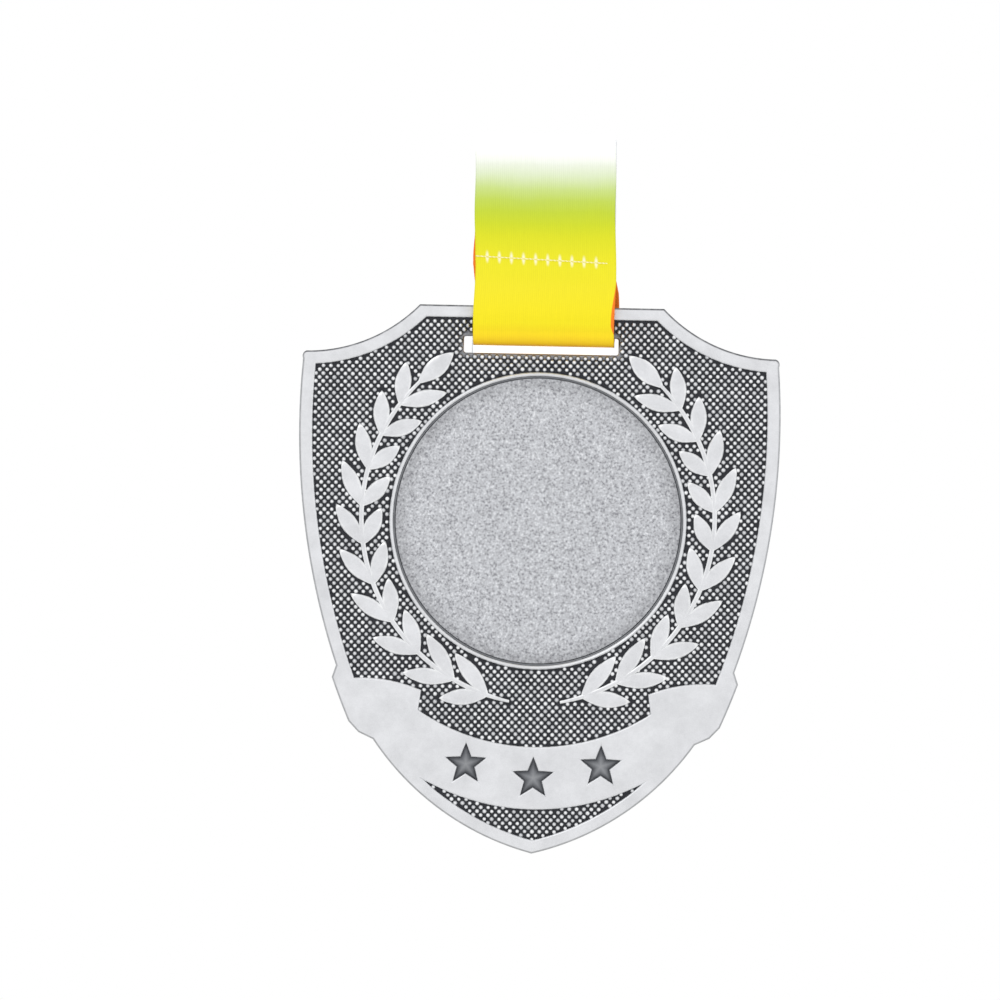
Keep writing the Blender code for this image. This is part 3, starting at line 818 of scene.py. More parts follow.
def ribbon_drift(index, marks, count, place):
    """Sideways wander of the ribbon, so that its layers don't lie edge to edge."""
    y, z = place
    if index <= marks["curl"]:
        share = index / marks["curl"]
        left = math.sin(math.pi * min(1.0, share / 0.42))
        right = math.sin(math.pi * max(0.0, share - 0.1) / 0.9)
        return 0.1 - 0.5 * left + 0.9 * right**2
    if index <= marks["over"]:
        top = min(1.0, max(0.0, (z + 13.0) / 14.0))
        return 0.14 * math.sin(0.34 * z + 2.0) - 0.4 * top
    if index >= count - END_ROWS and y < 0:
        left = min(1.0, (z - INNER_LOW.z + END_TAIL) / END_BULGE)
        return 0.12 - 0.24 * left - 0.3 * math.sin(math.pi * left)
    wander = 0.35 * math.sin(index * 0.052) + 0.12 * math.sin(index * 0.31)
    near_fold = max(0.0, 1 - (index - marks["over"]) / 60, 1 - (count - END_ROWS - index) / 20)
    return wander * (1 - min(1.0, near_fold)) - 0.2 * min(1.0, near_fold)


def seam_height(x):
    """Height of the seam at x, both in millimetres."""
    return SEAM_Z + SEAM_SLOPE * (x - RIBBON_X)


def ribbon_mesh(settings):
    """The neck ribbon as one band, with its run stored in a UV map in metres."""
    path, marks = ribbon_path()
    path_points = np.array(path)
    runs = np.concatenate([[0.0], np.cumsum(np.hypot(*np.diff(path_points, axis=0).T))])
    columns = settings.columns
    pitch = settings.stitch_pitch / MM
    dip = settings.pucker / MM
    across = np.linspace(-RIBBON_WIDTH / 2, RIBBON_WIDTH / 2, columns + 1)
    points = []
    for i, (y, z) in enumerate(path):
        drift = ribbon_drift(i, marks, len(path), (y, z))
        before, after = path_points[max(i - 1, 0)], path_points[min(i + 1, len(path) - 1)]
        along = (after - before) / max(np.hypot(*(after - before)), 1e-9)
        normal = (-along[1], along[0])
        free = marks["over"] < i < len(path) - FLAT_ROWS
        wave = WAVE_HEIGHT * math.sin(runs[i] * 0.11) if free else 0.0
        for x in across:
            lift = wave * math.cos(x * 0.25)
            if i <= marks["front"] or i > len(path) - FLAT_ROWS:
                fall = math.exp(-(((z - seam_height(x)) / PUCKER_REACH) ** 2))
                hole = abs(((x - SEAM_SHIFT) / pitch) % 1.0 - 0.5) * 2
                y_lift = dip * fall * (1.0 - hole) ** 2
                side = 1.0 if y < MEDAL_Y else -1.0
                points.append((RIBBON_X + x + drift, y + side * y_lift, z))
            else:
                points.append((RIBBON_X + x + drift, y + normal[0] * lift, z + normal[1] * lift))
    mesh = mesh_from("neck_ribbon", points, grid_faces(len(path), columns + 1))
    uv = mesh.uv_layers.new(name="run")
    loops = np.zeros(len(mesh.loops), np.int32)
    mesh.loops.foreach_get("vertex_index", loops)
    flat = np.stack([np.tile(across, len(path)), np.repeat(runs, columns + 1)], axis=1) * MM
    uv.data.foreach_set("uv", flat[loops].astype(np.float32).ravel())
    return mesh, runs, marks, path_points


def tube_mesh(name, centres, radii, sides=8):
    """A closed tube along centres, which run mostly along X."""
    points = []
    for (x, y, z), radius in zip(centres, radii):
        for i in range(sides):
            a = 2 * math.pi * i / sides
            points.append((x, y + radius * math.cos(a), z + radius * math.sin(a)))
    faces = grid_faces(len(centres), sides, closed=True)
    faces.append(tuple(reversed(range(sides))))
    faces.append(tuple(range(len(points) - sides, len(points))))
    return mesh_from(name, points, faces)


def seam_mesh(name, settings, y, outward):
    """The visible stitches of one thread, each diving into a needle hole at both ends."""
    pitch, radius = settings.stitch_pitch / MM, settings.thread_radius / MM
    centres, radii = [], []
    steps = 10
    for k in range(STITCHES):
        for i in range(steps + 1):
            t = i / steps
            x = max(-RIBBON_WIDTH / 2 + 0.1, SEAM_SHIFT + (k + t - STITCHES / 2) * pitch)
            lift = math.sin(math.pi * t) ** 0.6
            depth = y + outward * (STITCH_RISE * lift - STITCH_SINK)
            centres.append((RIBBON_X + x, depth, seam_height(RIBBON_X + x)))
            radii.append(radius * (0.72 + 0.28 * lift))
    return tube_mesh(name, centres, radii)


def tie_mesh(name):
    """A ribbed elastic ring round the hank."""
    middle = (TIE_LOW + TIE_HIGH) / 2
    thickness = 0.8
    half_x = (TIE_HIGH.x - TIE_LOW.x - thickness) / 2
    half_y = (TIE_HIGH.y - TIE_LOW.y - thickness) / 2
    width = TIE_HIGH.z - TIE_LOW.z
    corner = 1.6
    route = []
    quarters = ((1, 1), (-1, 1), (-1, -1), (1, -1))
    for k, (sx, sy) in enumerate(quarters):
        for i in range(9):
            a = math.radians(90 * k + 90 * i / 8)
            nx, ny = math.cos(a), math.sin(a)
            ax, ay = sx * (half_x - corner) + corner * nx, sy * (half_y - corner) + corner * ny
            route.append((ax, ay, nx, ny))
        tx, ty = quarters[(k + 1) % 4]
        bx, by = tx * (half_x - corner) + corner * nx, ty * (half_y - corner) + corner * ny
        for i in range(1, 10):
            route.append((ax + (bx - ax) * i / 10, ay + (by - ay) * i / 10, nx, ny))
    ribs, rib_height = 5, 0.06
    profile = []
    steps = 40
    for i in range(steps + 1):
        t = i / steps
        edge = min(1.0, 8 * t, 8 * (1 - t)) ** 0.5
        swell = rib_height * math.cos(2 * math.pi * ribs * t)
        out = (thickness / 2 - rib_height + swell) * (0.55 + 0.45 * edge)
        profile.append((width * (t - 0.5), out))
    for i in range(steps, -1, -4):
        t = i / steps
        profile.append((width * (t - 0.5), -thickness / 2 * 0.9))
    points = []
    for x, y, nx, ny in route:
        for z, out in profile:
            points.append((middle.x + x + nx * out, middle.y + y + ny * out, middle.z + z))
    faces = grid_faces(len(route), len(profile), closed=True)
    first = (len(route) - 1) * len(profile)
    size = len(profile)
    faces += [(first + c, first + (c + 1) % size, (c + 1) % size, c) for c in range(size)]
    return mesh_from(name, points, faces)


# ---- materials ----


def feed(tree, node, inputs):
    """Sets a node's inputs, and links those that are given a socket."""
    for key, value in dict(inputs).items():
        if isinstance(value, bpy.types.NodeSocket):
            tree.links.new(value, node.inputs[key])
        else:
            node.inputs[key].default_value = value


def add(tree, kind, settings=(), inputs=()):
    """Adds a node with its settings, and sets or links its inputs."""
    made = tree.nodes.new(kind)
    for key, value in dict(settings).items():
        setattr(made, key, value)
    feed(tree, made, inputs)
    return made


def stops(ramp, colours):
    """Sets a colour ramp's stops from places and linear colours."""
    band = ramp.color_ramp
    while len(band.elements) < len(colours):
        band.elements.new(0.5)
    for element, (place, colour) in zip(band.elements, colours):
        element.position = place
        element.color = colour


def blank(name):
    """A new material with its node tree and its Principled shader."""
    made = bpy.data.materials.new(name)
    made.use_nodes = True
    return made, made.node_tree, made.node_tree.nodes["Principled BSDF"]


def antique_silver(settings):
    """Silver-plated zinc, die-cast, blackened and wiped: bright high parts over black lows."""
    made, tree, shader = blank("antique_silver_zinc")
    place = add(tree, "ShaderNodeTexCoord")
    axes = add(tree, "ShaderNodeSeparateXYZ", inputs={0: place.outputs["Object"]})
    depth = add(
        tree, "ShaderNodeMapRange", inputs={0: axes.outputs["Y"], 1: FRONT_Y * MM, 2: BACK_Y * MM}
    )
    # wiping smudges, casting clouds and the plating's grain: size in millimetres, detail
    smudge, cloud, grain = (
        add(
            tree,
            "ShaderNodeTexNoise",
            inputs={"Vector": place.outputs["Object"], "Scale": 1 / (size * MM), "Detail": detail},
        )
        for size, detail in ((0.9, 3.0), (5.0, 4.0), (0.22, 4.0))
    )
    drift = add(
        tree,
        "ShaderNodeMath",
        {"operation": "MULTIPLY_ADD"},
        {0: smudge.outputs["Fac"], 1: 0.016, 2: depth.outputs[0]},
    )
    silver, patina = tuple(settings.silver), tuple(settings.patina)
    # the ramp runs by depth: patina fills the lows, and the band from 0.08 to 0.098 is a painted
    # highlight, brighter than the silver, on the dots' tops and along the bevelled edges
    patina_and_highlight = add(tree, "ShaderNodeValToRGB", inputs={"Fac": drift.outputs[0]})
    stops(
        patina_and_highlight,
        (
            (0.02, silver),
            (0.066, silver),
            (0.08, linear("#F4F5F6")),
            (0.098, linear("#F4F5F6")),
            (0.122, linear("#CDCED1")),
            (0.15, linear("#A6A8AB")),
            (0.178, linear("#84868A")),
            (0.196, linear("#595B5F")),
            (0.206, patina),
            (0.26, patina),
            (0.34, linear("#8E9095")),
            (0.90, linear("#A9ABB0")),
            (0.97, linear("#C9CBCF")),
        ),
    )
    blotch = add(
        tree,
        "ShaderNodeMath",
        {"operation": "MULTIPLY_ADD"},
        {0: smudge.outputs["Fac"], 1: 0.45, 2: cloud.outputs["Fac"]},
    )
    speckled = add(
        tree,
        "ShaderNodeMath",
        {"operation": "MULTIPLY_ADD"},
        {0: grain.outputs["Fac"], 1: 0.5, 2: blotch.outputs[0]},
    )
    shade = add(
        tree, "ShaderNodeMapRange", inputs={0: speckled.outputs[0], 1: 0.7, 2: 1.2, 3: 0.88, 4: 1.03}
    )
    mottled = add(
        tree,
        "ShaderNodeMix",
        {"data_type": "RGBA", "blend_type": "MULTIPLY"},
        {0: 1.0, 6: patina_and_highlight.outputs["Color"], 7: shade.outputs[0]},
    )
    # painted shade: the outer edge is darkened to a grey line, more so where it faces up, and varied by
    # the same noise
    rim = add(tree, "ShaderNodeAttribute", {"attribute_name": "outer_edge"})
    facing = add(tree, "ShaderNodeSeparateXYZ", inputs={0: place.outputs["Normal"]})
    upward = add(
        tree, "ShaderNodeMapRange", inputs={0: facing.outputs["Z"], 1: 0.0, 2: 0.6, 3: 0.55, 4: 1.0}
    )
    shade_breakup = add(
        tree, "ShaderNodeMapRange", inputs={0: smudge.outputs["Fac"], 1: 0.3, 2: 0.62, 3: 0.72, 4: 1.0}
    )
    grey = add(
        tree, "ShaderNodeMath", {"operation": "MULTIPLY"}, {0: upward.outputs[0], 1: shade_breakup.outputs[0]}
    )
    edge_shade_mask = add(
        tree, "ShaderNodeMath", {"operation": "MULTIPLY"}, {0: rim.outputs["Fac"], 1: grey.outputs[0]}
    )
    edge_shaded = add(
        tree,
        "ShaderNodeMix",
        {"data_type": "RGBA"},
        {0: edge_shade_mask.outputs[0], 6: mottled.outputs[2], 7: linear("#54565A")},
    )
    rough = add(
        tree, "ShaderNodeMapRange", inputs={0: cloud.outputs["Fac"], 1: 0.3, 2: 0.75, 3: 0.34, 4: 0.5}
    )
    dents = add(
        tree,
        "ShaderNodeTexVoronoi",
        {"feature": "SMOOTH_F1"},
        {"Vector": place.outputs["Object"], "Scale": 1 / (3.4 * MM)},
    )
    skin = add(
        tree,
        "ShaderNodeBump",
        inputs={"Strength": 0.25, "Distance": 0.02 * MM, "Height": grain.outputs["Fac"]},
    )
    bump = add(
        tree,
        "ShaderNodeBump",
        inputs={
            "Strength": 0.12,
            "Distance": 0.03 * MM,
            "Height": dents.outputs["Distance"],
            "Normal": skin.outputs[0],
        },
    )
    surface = {
        "Base Color": edge_shaded.outputs[2],
        "Metallic": 1.0,
        "Roughness": rough.outputs[0],
        "Normal": bump.outputs[0],
    }
    feed(tree, shader, surface)
    return made


def frosted_silver(settings):
    """Silver-plated aluminium, bead-blasted: an even grey grain that never mirrors."""
    made, tree, shader = blank("frosted_silver_disc")
    place = add(tree, "ShaderNodeTexCoord")
    # the grain is drawn coarser than the blasting grit, so that it shows
    grit = add(
        tree,
        "ShaderNodeTexNoise",
        inputs={"Vector": place.outputs["Object"], "Scale": 1 / settings.grit, "Detail": 2.0},
    )
    patch = add(
        tree,
        "ShaderNodeTexNoise",
        inputs={"Vector": place.outputs["Object"], "Scale": 1 / (1.4 * MM), "Detail": 3.0},
    )
    centred = add(
        tree,
        "ShaderNodeVectorMath",
        {"operation": "SUBTRACT"},
        {0: place.outputs["Object"], 1: (0.0, INSERT_LOW.y * MM, DISC_Z * MM)},
    )
    reach = add(tree, "ShaderNodeVectorMath", {"operation": "LENGTH"}, {0: centred.outputs[0]})
    edge = INSERT_RADIUS * MM
    # painted shade: the disc darkens towards its rim, where the bead round it would shade it
    rim_shade = add(
        tree,
        "ShaderNodeMapRange",
        {"interpolation_type": "SMOOTHSTEP"},
        {0: reach.outputs["Value"], 1: 0.87 * edge, 2: edge, 3: 1.0, 4: 0.79},
    )
    speck = add(tree, "ShaderNodeValToRGB", inputs={"Fac": grit.outputs["Fac"]})
    stops(
        speck,
        (
            (0.30, linear("#9A9BA0")),
            (0.46, tuple(settings.frosted)),
            (0.58, linear("#CED0D4")),
            (0.72, linear("#E6E7EA")),
        ),
    )
    tone = add(
        tree, "ShaderNodeMapRange", inputs={0: patch.outputs["Fac"], 1: 0.3, 2: 0.7, 3: 0.95, 4: 1.05}
    )
    shade = add(
        tree, "ShaderNodeMath", {"operation": "MULTIPLY"}, {0: tone.outputs[0], 1: rim_shade.outputs[0]}
    )
    colour = add(
        tree,
        "ShaderNodeMix",
        {"data_type": "RGBA", "blend_type": "MULTIPLY"},
        {0: 1.0, 6: speck.outputs["Color"], 7: shade.outputs[0]},
    )
    bump = add(
        tree,
        "ShaderNodeBump",
        inputs={"Strength": 0.7, "Distance": 0.03 * MM, "Height": grit.outputs["Fac"]},
    )
    surface = {
        "Base Color": colour.outputs[2],
        "Metallic": 1.0,
        "Roughness": 0.62,
        "Normal": bump.outputs[0],
    }
    feed(tree, shader, surface)
    return made


def satin_ribbon(settings, runs, marks, path):
    """Woven polyester satin with a printed fade: fine cords along it and a soft sheen."""
    made, tree, shader = blank("dyed_satin_ribbon")
    total = runs[-1]

    def run_at(rise):
        """Run of the front strand at a height above the shield's top edge."""
        first, last = marks["curl"], marks["front"]
        heights = path[first : last + 1, 1] - DISC_Z - SHIELD_TOP
        return float(np.interp(rise, heights, runs[first : last + 1]))

    seam_run = run_at(SEAM_Z - DISC_Z - SHIELD_TOP)
    top_run = float(runs[marks["front"]])
    curl_run = float(runs[marks["curl"]])
    fade = (
        (0.0, "#FAD01E"),
        (curl_run - 1.4, "#F9B81C"),
        (curl_run + 0.4, "#F8B61C"),
        (curl_run + 1.6, "#FBCF16"),
        (run_at(-5.0), "#FBDC10"),
        (run_at(-3.0), "#F8E60C"),
        (run_at(3.0), "#F2E41A"),
        (run_at(9.0), "#EBE51A"),
        (run_at(12.5), "#DDDF18"),
        (run_at(14.6), "#CFDA20"),
        (run_at(16.8), "#C4D634"),
        (run_at(18.8), "#C2D754"),
        (run_at(20.8), "#CADE84"),
        (run_at(23.3), "#DFEBC6"),
        (top_run - 0.2, "#F0F4E9"),
        (top_run + 3.0, "#F6F8F4"),
        (top_run + 6.0, "#FFFFFF"),
        (top_run + 9.0, "#E6E8EB"),
    )
    place = add(tree, "ShaderNodeUVMap", {"uv_map": "run"})
    axes = add(tree, "ShaderNodeSeparateXYZ", inputs={0: place.outputs["UV"]})
    full, wander = top_run + 12.0, 0.016
    share = add(tree, "ShaderNodeMapRange", inputs={0: axes.outputs["Y"], 1: 0.0, 2: full * MM})
    cloud = add(
        tree,
        "ShaderNodeTexNoise",
        inputs={"Vector": place.outputs["UV"], "Scale": 1 / (7 * MM), "Detail": 2.0},
    )
    drift = add(
        tree,
        "ShaderNodeMath",
        {"operation": "MULTIPLY_ADD"},
        {0: cloud.outputs["Fac"], 1: wander, 2: share.outputs[0]},
    )
    dye = add(tree, "ShaderNodeValToRGB", inputs={"Fac": drift.outputs[0]})
    stops(dye, [(run / full + wander / 2, linear(code)) for run, code in fade])
    # needle holes: a pale lens at each stitch, partly the satin drawn in round the hole and partly a
    # painted highlight on its pucker
    pitch = settings.stitch_pitch
    from_hole = add(
        tree,
        "ShaderNodeMath",
        {"operation": "SUBTRACT"},
        {0: axes.outputs["X"], 1: SEAM_SHIFT * MM + pitch / 2},
    )
    hole_x = add(
        tree, "ShaderNodeMath", {"operation": "PINGPONG"}, {0: from_hole.outputs[0], 1: pitch / 2}
    )
    lens_x = add(tree, "ShaderNodeMapRange", inputs={0: hole_x.outputs[0], 1: 0.5 * MM, 2: 0.0})
    in_seam = add(
        tree,
        "ShaderNodeMath",
        {"operation": "COMPARE"},
        {0: axes.outputs["X"], 1: SEAM_SHIFT * MM, 2: (STITCHES / 2 - 0.6) * pitch},
    )
    slope = add(
        tree,
        "ShaderNodeMath",
        {"operation": "MULTIPLY_ADD"},
        {0: axes.outputs["X"], 1: -SEAM_SLOPE, 2: axes.outputs["Y"]},
    )
    from_seam = add(
        tree, "ShaderNodeMath", {"operation": "SUBTRACT"}, {0: slope.outputs[0], 1: seam_run * MM}
    )
    off = add(tree, "ShaderNodeMath", {"operation": "ABSOLUTE"}, {0: from_seam.outputs[0]})
    lens_y = add(tree, "ShaderNodeMapRange", inputs={0: off.outputs[0], 1: 1.5 * MM, 2: 0.0})
    lens = add(
        tree, "ShaderNodeMath", {"operation": "MULTIPLY"}, {0: lens_x.outputs[0], 1: lens_y.outputs[0]}
    )
    lens_held = add(
        tree, "ShaderNodeMath", {"operation": "MULTIPLY"}, {0: lens.outputs[0], 1: in_seam.outputs[0]}
    )
    lens_soft = add(
        tree,
        "ShaderNodeMapRange",
        {"interpolation_type": "SMOOTHSTEP"},
        {0: lens_held.outputs[0], 1: 0.06, 2: 0.7, 3: 0.0, 4: 0.85},
    )
    # warp cords run along the ribbon, drawn coarser than single threads so that they show
    cords = add(
        tree,
        "ShaderNodeMath",
        {"operation": "MULTIPLY"},
        {0: axes.outputs["X"], 1: 2 * math.pi / settings.thread_pitch},
    )
    cord = add(tree, "ShaderNodeMath", {"operation": "SINE"}, {0: cords.outputs[0]})
    stretched = add(
        tree,
        "ShaderNodeMapping",
        inputs={"Vector": place.outputs["UV"], "Scale": (1 / (0.3 * MM), 1 / (4 * MM), 1.0)},
    )
    fibre = add(
        tree, "ShaderNodeTexNoise", inputs={"Vector": stretched.outputs[0], "Scale": 1.0, "Detail": 3.0}
    )
    weave = add(
        tree,
        "ShaderNodeMath",
        {"operation": "MULTIPLY_ADD"},
        {0: cord.outputs[0], 1: 0.25, 2: fibre.outputs["Fac"]},
    )
    tone = add(
        tree, "ShaderNodeMapRange", inputs={0: weave.outputs[0], 1: 0.1, 2: 0.9, 3: 0.965, 4: 1.03}
    )
    # the print's orange border shows along the loop's edges, and widens on the right from
    # below the top bar until it narrows again above it, by height above the shield's top edge
    from_middle = add(tree, "ShaderNodeMath", {"operation": "ABSOLUTE"}, {0: axes.outputs["X"]})
    lobe, lobe_end = (
        add(
            tree,
            "ShaderNodeMapRange",
            {"interpolation_type": "SMOOTHSTEP"},
            {0: axes.outputs["Y"], 1: run_at(low) * MM, 2: run_at(high) * MM, 3: 0.0, 4: LOBE_WIDTH * MM},
        )
        for low, high in ((-5.6, -3.0), (-2.0, 5.5))
    )
    lobe_width = add(
        tree, "ShaderNodeMath", {"operation": "SUBTRACT"}, {0: lobe.outputs[0], 1: lobe_end.outputs[0]}
    )
    reach = add(
        tree, "ShaderNodeMath", {"operation": "ADD"}, {0: axes.outputs["X"], 1: lobe_width.outputs[0]}
    )
    half = RIBBON_WIDTH / 2
    right_edge = add(
        tree,
        "ShaderNodeMapRange",
        inputs={0: reach.outputs[0], 1: (half + 0.02) * MM, 2: (half + 0.14) * MM},
    )
    both_edges = add(
        tree,
        "ShaderNodeMapRange",
        inputs={0: from_middle.outputs[0], 1: (half - 1.6) * MM, 2: (half - 0.8) * MM},
    )
    back_loop = add(
        tree,
        "ShaderNodeMapRange",
        inputs={0: axes.outputs["Y"], 1: (curl_run - 1.5) * MM, 2: (curl_run - 3.0) * MM},
    )
    back_edges = add(
        tree,
        "ShaderNodeMath",
        {"operation": "MULTIPLY"},
        {0: both_edges.outputs[0], 1: back_loop.outputs[0]},
    )
    loop_edges = add(
        tree,
        "ShaderNodeMath",
        {"operation": "MAXIMUM"},
        {0: back_edges.outputs[0], 1: right_edge.outputs[0]},
    )
    # the inner end is orange too, where the print starts again
    last_end = add(
        tree,
        "ShaderNodeMapRange",
        inputs={0: axes.outputs["Y"], 1: (total - 10.5) * MM, 2: (total - 9.0) * MM},
    )
    orange = add(
        tree,
        "ShaderNodeMath",
        {"operation": "MAXIMUM"},
        {0: loop_edges.outputs[0], 1: last_end.outputs[0]},
    )
    printed = add(
        tree,
        "ShaderNodeMix",
        {"data_type": "RGBA"},
        {0: orange.outputs[0], 6: dye.outputs["Color"], 7: linear("#FA7F1A")},
    )
    cloth = add(
        tree,
        "ShaderNodeMix",
        {"data_type": "RGBA", "blend_type": "MULTIPLY"},
        {0: 1.0, 6: printed.outputs[2], 7: tone.outputs[0]},
    )
    # painted light: the white stretch glows a little so that it stays pure white, most of all at the fold
    # and behind the slot, where it lies in shade
    over_run = float(runs[marks["over"]])
    whole = add(tree, "ShaderNodeMapRange", inputs={0: axes.outputs["Y"], 1: 0.0, 2: total * MM})
    painted_glow = add(tree, "ShaderNodeValToRGB", inputs={"Fac": whole.outputs[0]})
    up_run = float(runs[marks["up"]])
    lit = (
        (top_run - 0.5, 0.0),
        (top_run + 2.0, 0.08),
        (top_run + 4.5, 0.5),
        (over_run + 2.0, 0.35),
        (over_run + 16.0, 0.06),
        (up_run - 8.0, 0.06),
        (up_run - 2.0, 1.0),
        (up_run + 8.0, 1.0),
        (up_run + 20.0, 0.15),
        (total - 16.0, 0.15),
        (total - 12.0, 0.0),
    )
    stops(painted_glow, [(run / total, (level, level, level, 1.0)) for run, level in lit])
    drawn = add(
        tree,
        "ShaderNodeMix",
        {"data_type": "RGBA"},
        {0: lens_soft.outputs[0], 6: cloth.outputs[2], 7: linear("#FFFCE2")},
    )
    bump = add(
        tree,
        "ShaderNodeBump",
        inputs={"Strength": 0.25, "Distance": 0.04 * MM, "Height": weave.outputs[0]},
    )
    surface = {
        "Base Color": drawn.outputs[2],
        "Roughness": 0.55,
        "Specular IOR Level": 0.3,
        "Sheen Weight": 0.08,
        "Sheen Roughness": 0.4,
        "Emission Color": painted_glow.outputs["Color"],
        "Emission Strength": 0.8,
        "Normal": bump.outputs[0],
    }
    feed(tree, shader, surface)
    return made


def cotton_thread(settings):
    """Spun polyester sewing thread: slanting plies with a dull shine."""
    made, tree, shader = blank("cream_sewing_thread")
    place = add(tree, "ShaderNodeTexCoord")
    plies = add(
        tree,
        "ShaderNodeTexWave",
        {"bands_direction": "DIAGONAL"},
        {"Vector": place.outputs["Object"], "Scale": 1 / (1.1 * MM), "Distortion": 1.5},
    )
    colour = add(tree, "ShaderNodeValToRGB", inputs={"Fac": plies.outputs["Fac"]})
    stops(colour, ((0.0, linear("#EFE27A")), (0.6, tuple(settings.thread)), (1.0, linear("#FFF9C8"))))
    bump = add(
        tree,
        "ShaderNodeBump",
        inputs={"Strength": 0.5, "Distance": 0.02 * MM, "Height": plies.outputs["Fac"]},
    )
    surface = {
        "Base Color": colour.outputs["Color"],
        "Roughness": 0.6,
        "Normal": bump.outputs[0],
    }
    feed(tree, shader, surface)
    return made


def knitted_elastic():
    """White knitted elastic: ribs round the band with a fine cross weave."""
    made, tree, shader = blank("white_knitted_elastic")
    place = add(tree, "ShaderNodeTexCoord")
    knit = add(
        tree,
        "ShaderNodeTexWave",
        {"bands_direction": "X"},
        {"Vector": place.outputs["Object"], "Scale": 1 / (1.8 * MM), "Distortion": 2.0, "Detail": 2.0},
    )
    fuzz = add(
        tree,
        "ShaderNodeTexNoise",
        inputs={"Vector": place.outputs["Object"], "Scale": 1 / (0.3 * MM), "Detail": 3.0},
    )
    both = add(
        tree,
        "ShaderNodeMath",
        {"operation": "MULTIPLY_ADD"},
        {0: knit.outputs["Fac"], 1: 0.5, 2: fuzz.outputs["Fac"]},
    )
    colour = add(tree, "ShaderNodeValToRGB", inputs={"Fac": both.outputs[0]})
    stops(colour, ((0.35, linear("#D9D8D2")), (0.7, linear("#F2F1EC")), (1.0, linear("#FBFAF6"))))
    bump = add(
        tree,
        "ShaderNodeBump",
        inputs={"Strength": 0.6, "Distance": 0.06 * MM, "Height": both.outputs[0]},
    )
    surface = {
        "Base Color": colour.outputs["Color"],
        "Roughness": 0.8,
        "Sheen Weight": 0.3,
        "Normal": bump.outputs[0],
    }
    feed(tree, shader, surface)
    return made


def tape_adhesive():
    """Double-sided tape with a milky acrylic glue: dull, with trapped bubbles."""
    made, tree, shader = blank("acrylic_tape")
    place = add(tree, "ShaderNodeTexCoord")
    bubbles = add(
        tree,
        "ShaderNodeTexVoronoi",
        inputs={"Vector": place.outputs["Object"], "Scale": 1 / (1.6 * MM)},
    )
    colour = add(tree, "ShaderNodeValToRGB", inputs={"Fac": bubbles.outputs["Distance"]})
    stops(colour, ((0.1, linear("#F3F0E2")), (0.6, linear("#DAD6C4"))))
    bump = add(
        tree,
        "ShaderNodeBump",
        inputs={"Strength": 0.3, "Distance": 0.02 * MM, "Height": bubbles.outputs["Distance"]},
    )
    surface = {
        "Base Color": colour.outputs["Color"],
        "Roughness": 0.45,
        "Normal": bump.outputs[0],
    }
    feed(tree, shader, surface)
    return made


def matt_floor():
    """Matt white painted board: pale, with a faint roller stipple."""
    made, tree, shader = blank("matt_white_board")
    place = add(tree, "ShaderNodeTexCoord")
    stipple = add(
        tree,
        "ShaderNodeTexNoise",
        inputs={"Vector": place.outputs["Object"], "Scale": 1 / (3 * MM), "Detail": 3.0},
    )
    colour = add(tree, "ShaderNodeValToRGB", inputs={"Fac": stipple.outputs["Fac"]})
    stops(colour, ((0.3, linear("#F0F0EE")), (0.7, linear("#F6F6F4"))))
    feed(tree, shader, {"Base Color": colour.outputs["Color"], "Roughness": 0.9})
    return made


# ---- operators ----


class MEDAL_OT_cast_shield(Operator):
    """Builds the die-cast shield with its rim, field, laurels, bead and stars"""

    bl_idname = "medal.cast_shield"
    bl_label = "Cast Shield"

    def execute(self, context):
        settings = context.scene.medal_shield
        edge, wall = settings.edge_round / MM, settings.wall_round / MM
        outline, slot, pocket = shield_outline(), slot_outline(), circle(POCKET_RADIUS)
        face = [outline, upper_field(), lower_field(), *map(star_outline, star_places())]
        floor = [outline, slot, pocket]
        meshes = [
            pressed_plate("rim", face, FRONT_Y, POCKET_Y + RIM_LAP, edge),
            pressed_plate("floor", floor, FIELD_Y, POCKET_Y + FLOOR_LAP, wall, FLOOR_INSET),
            pressed_plate("back", [outline, slot], POCKET_Y, BACK_Y, edge, BACK_INSET),
            turned("bead", bead_profile()),
            dots_mesh(settings),
        ]
        meshes += [star_mesh(place) for place in star_places()]
        for side in (-1, 1):
            meshes.append(stem_mesh(settings.stem_width / MM, side))
            meshes += [leaf_mesh(leaf, settings.leaf_width / MM, side) for leaf in leaf_list()]
        shield = finished("cast_shield", joined("cast_shield", meshes))
        mark_outer_edge(shield.data)
        shield.modifiers.new("Flat faces", "WEIGHTED_NORMAL").keep_sharp = True
        shield.data.materials.append(antique_silver(settings))
        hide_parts("shield_casting")
        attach(shield, "medal")
        return {"FINISHED"}


class MEDAL_OT_set_insert(Operator):
    """Builds the frosted round insert"""

    bl_idname = "medal.set_insert"
    bl_label = "Set Insert"

    def execute(self, context):
        settings = context.scene.medal_insert
        edge = settings.edge_round / MM
        front, back, radius = INSERT_LOW.y, INSERT_HIGH.y, INSERT_RADIUS + INSERT_LAP
        profile = []
        for i in range(INSERT_RINGS + 1):
            profile.append((max(0.02, (radius - edge) * i / INSERT_RINGS), front))
        for i in range(1, 5):
            a = math.pi / 2 * i / 4
            profile.append((radius - edge + edge * math.sin(a), front + edge - edge * math.cos(a)))
        profile += [(radius, back - 0.1), (radius - 0.1, back), (0.02, back)]
        mesh = turned("frosted_insert", profile, INSERT_STEPS)
        for i, vert in enumerate(mesh.vertices):
            if 0 < i // INSERT_STEPS < INSERT_RINGS:
                vert.co.y += BLAST_DEPTH * MM * noise.noise(vert.co / (BLAST_PITCH * MM))
        insert = finished("frosted_insert", joined("frosted_insert", [mesh]))
        insert.data.materials.append(frosted_silver(settings))
        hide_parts("centre_insert")
        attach(insert, "medal")
        return {"FINISHED"}


class MEDAL_OT_lay_adhesive(Operator):
    """Gives the insert's adhesive pad its tape finish"""

    bl_idname = "medal.lay_adhesive"
    bl_label = "Lay Adhesive"

    def execute(self, context):
        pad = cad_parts["insert_adhesive"]
        finish = tape_adhesive()
        for slot in pad.material_slots:
            slot.material = finish
        return {"FINISHED"}


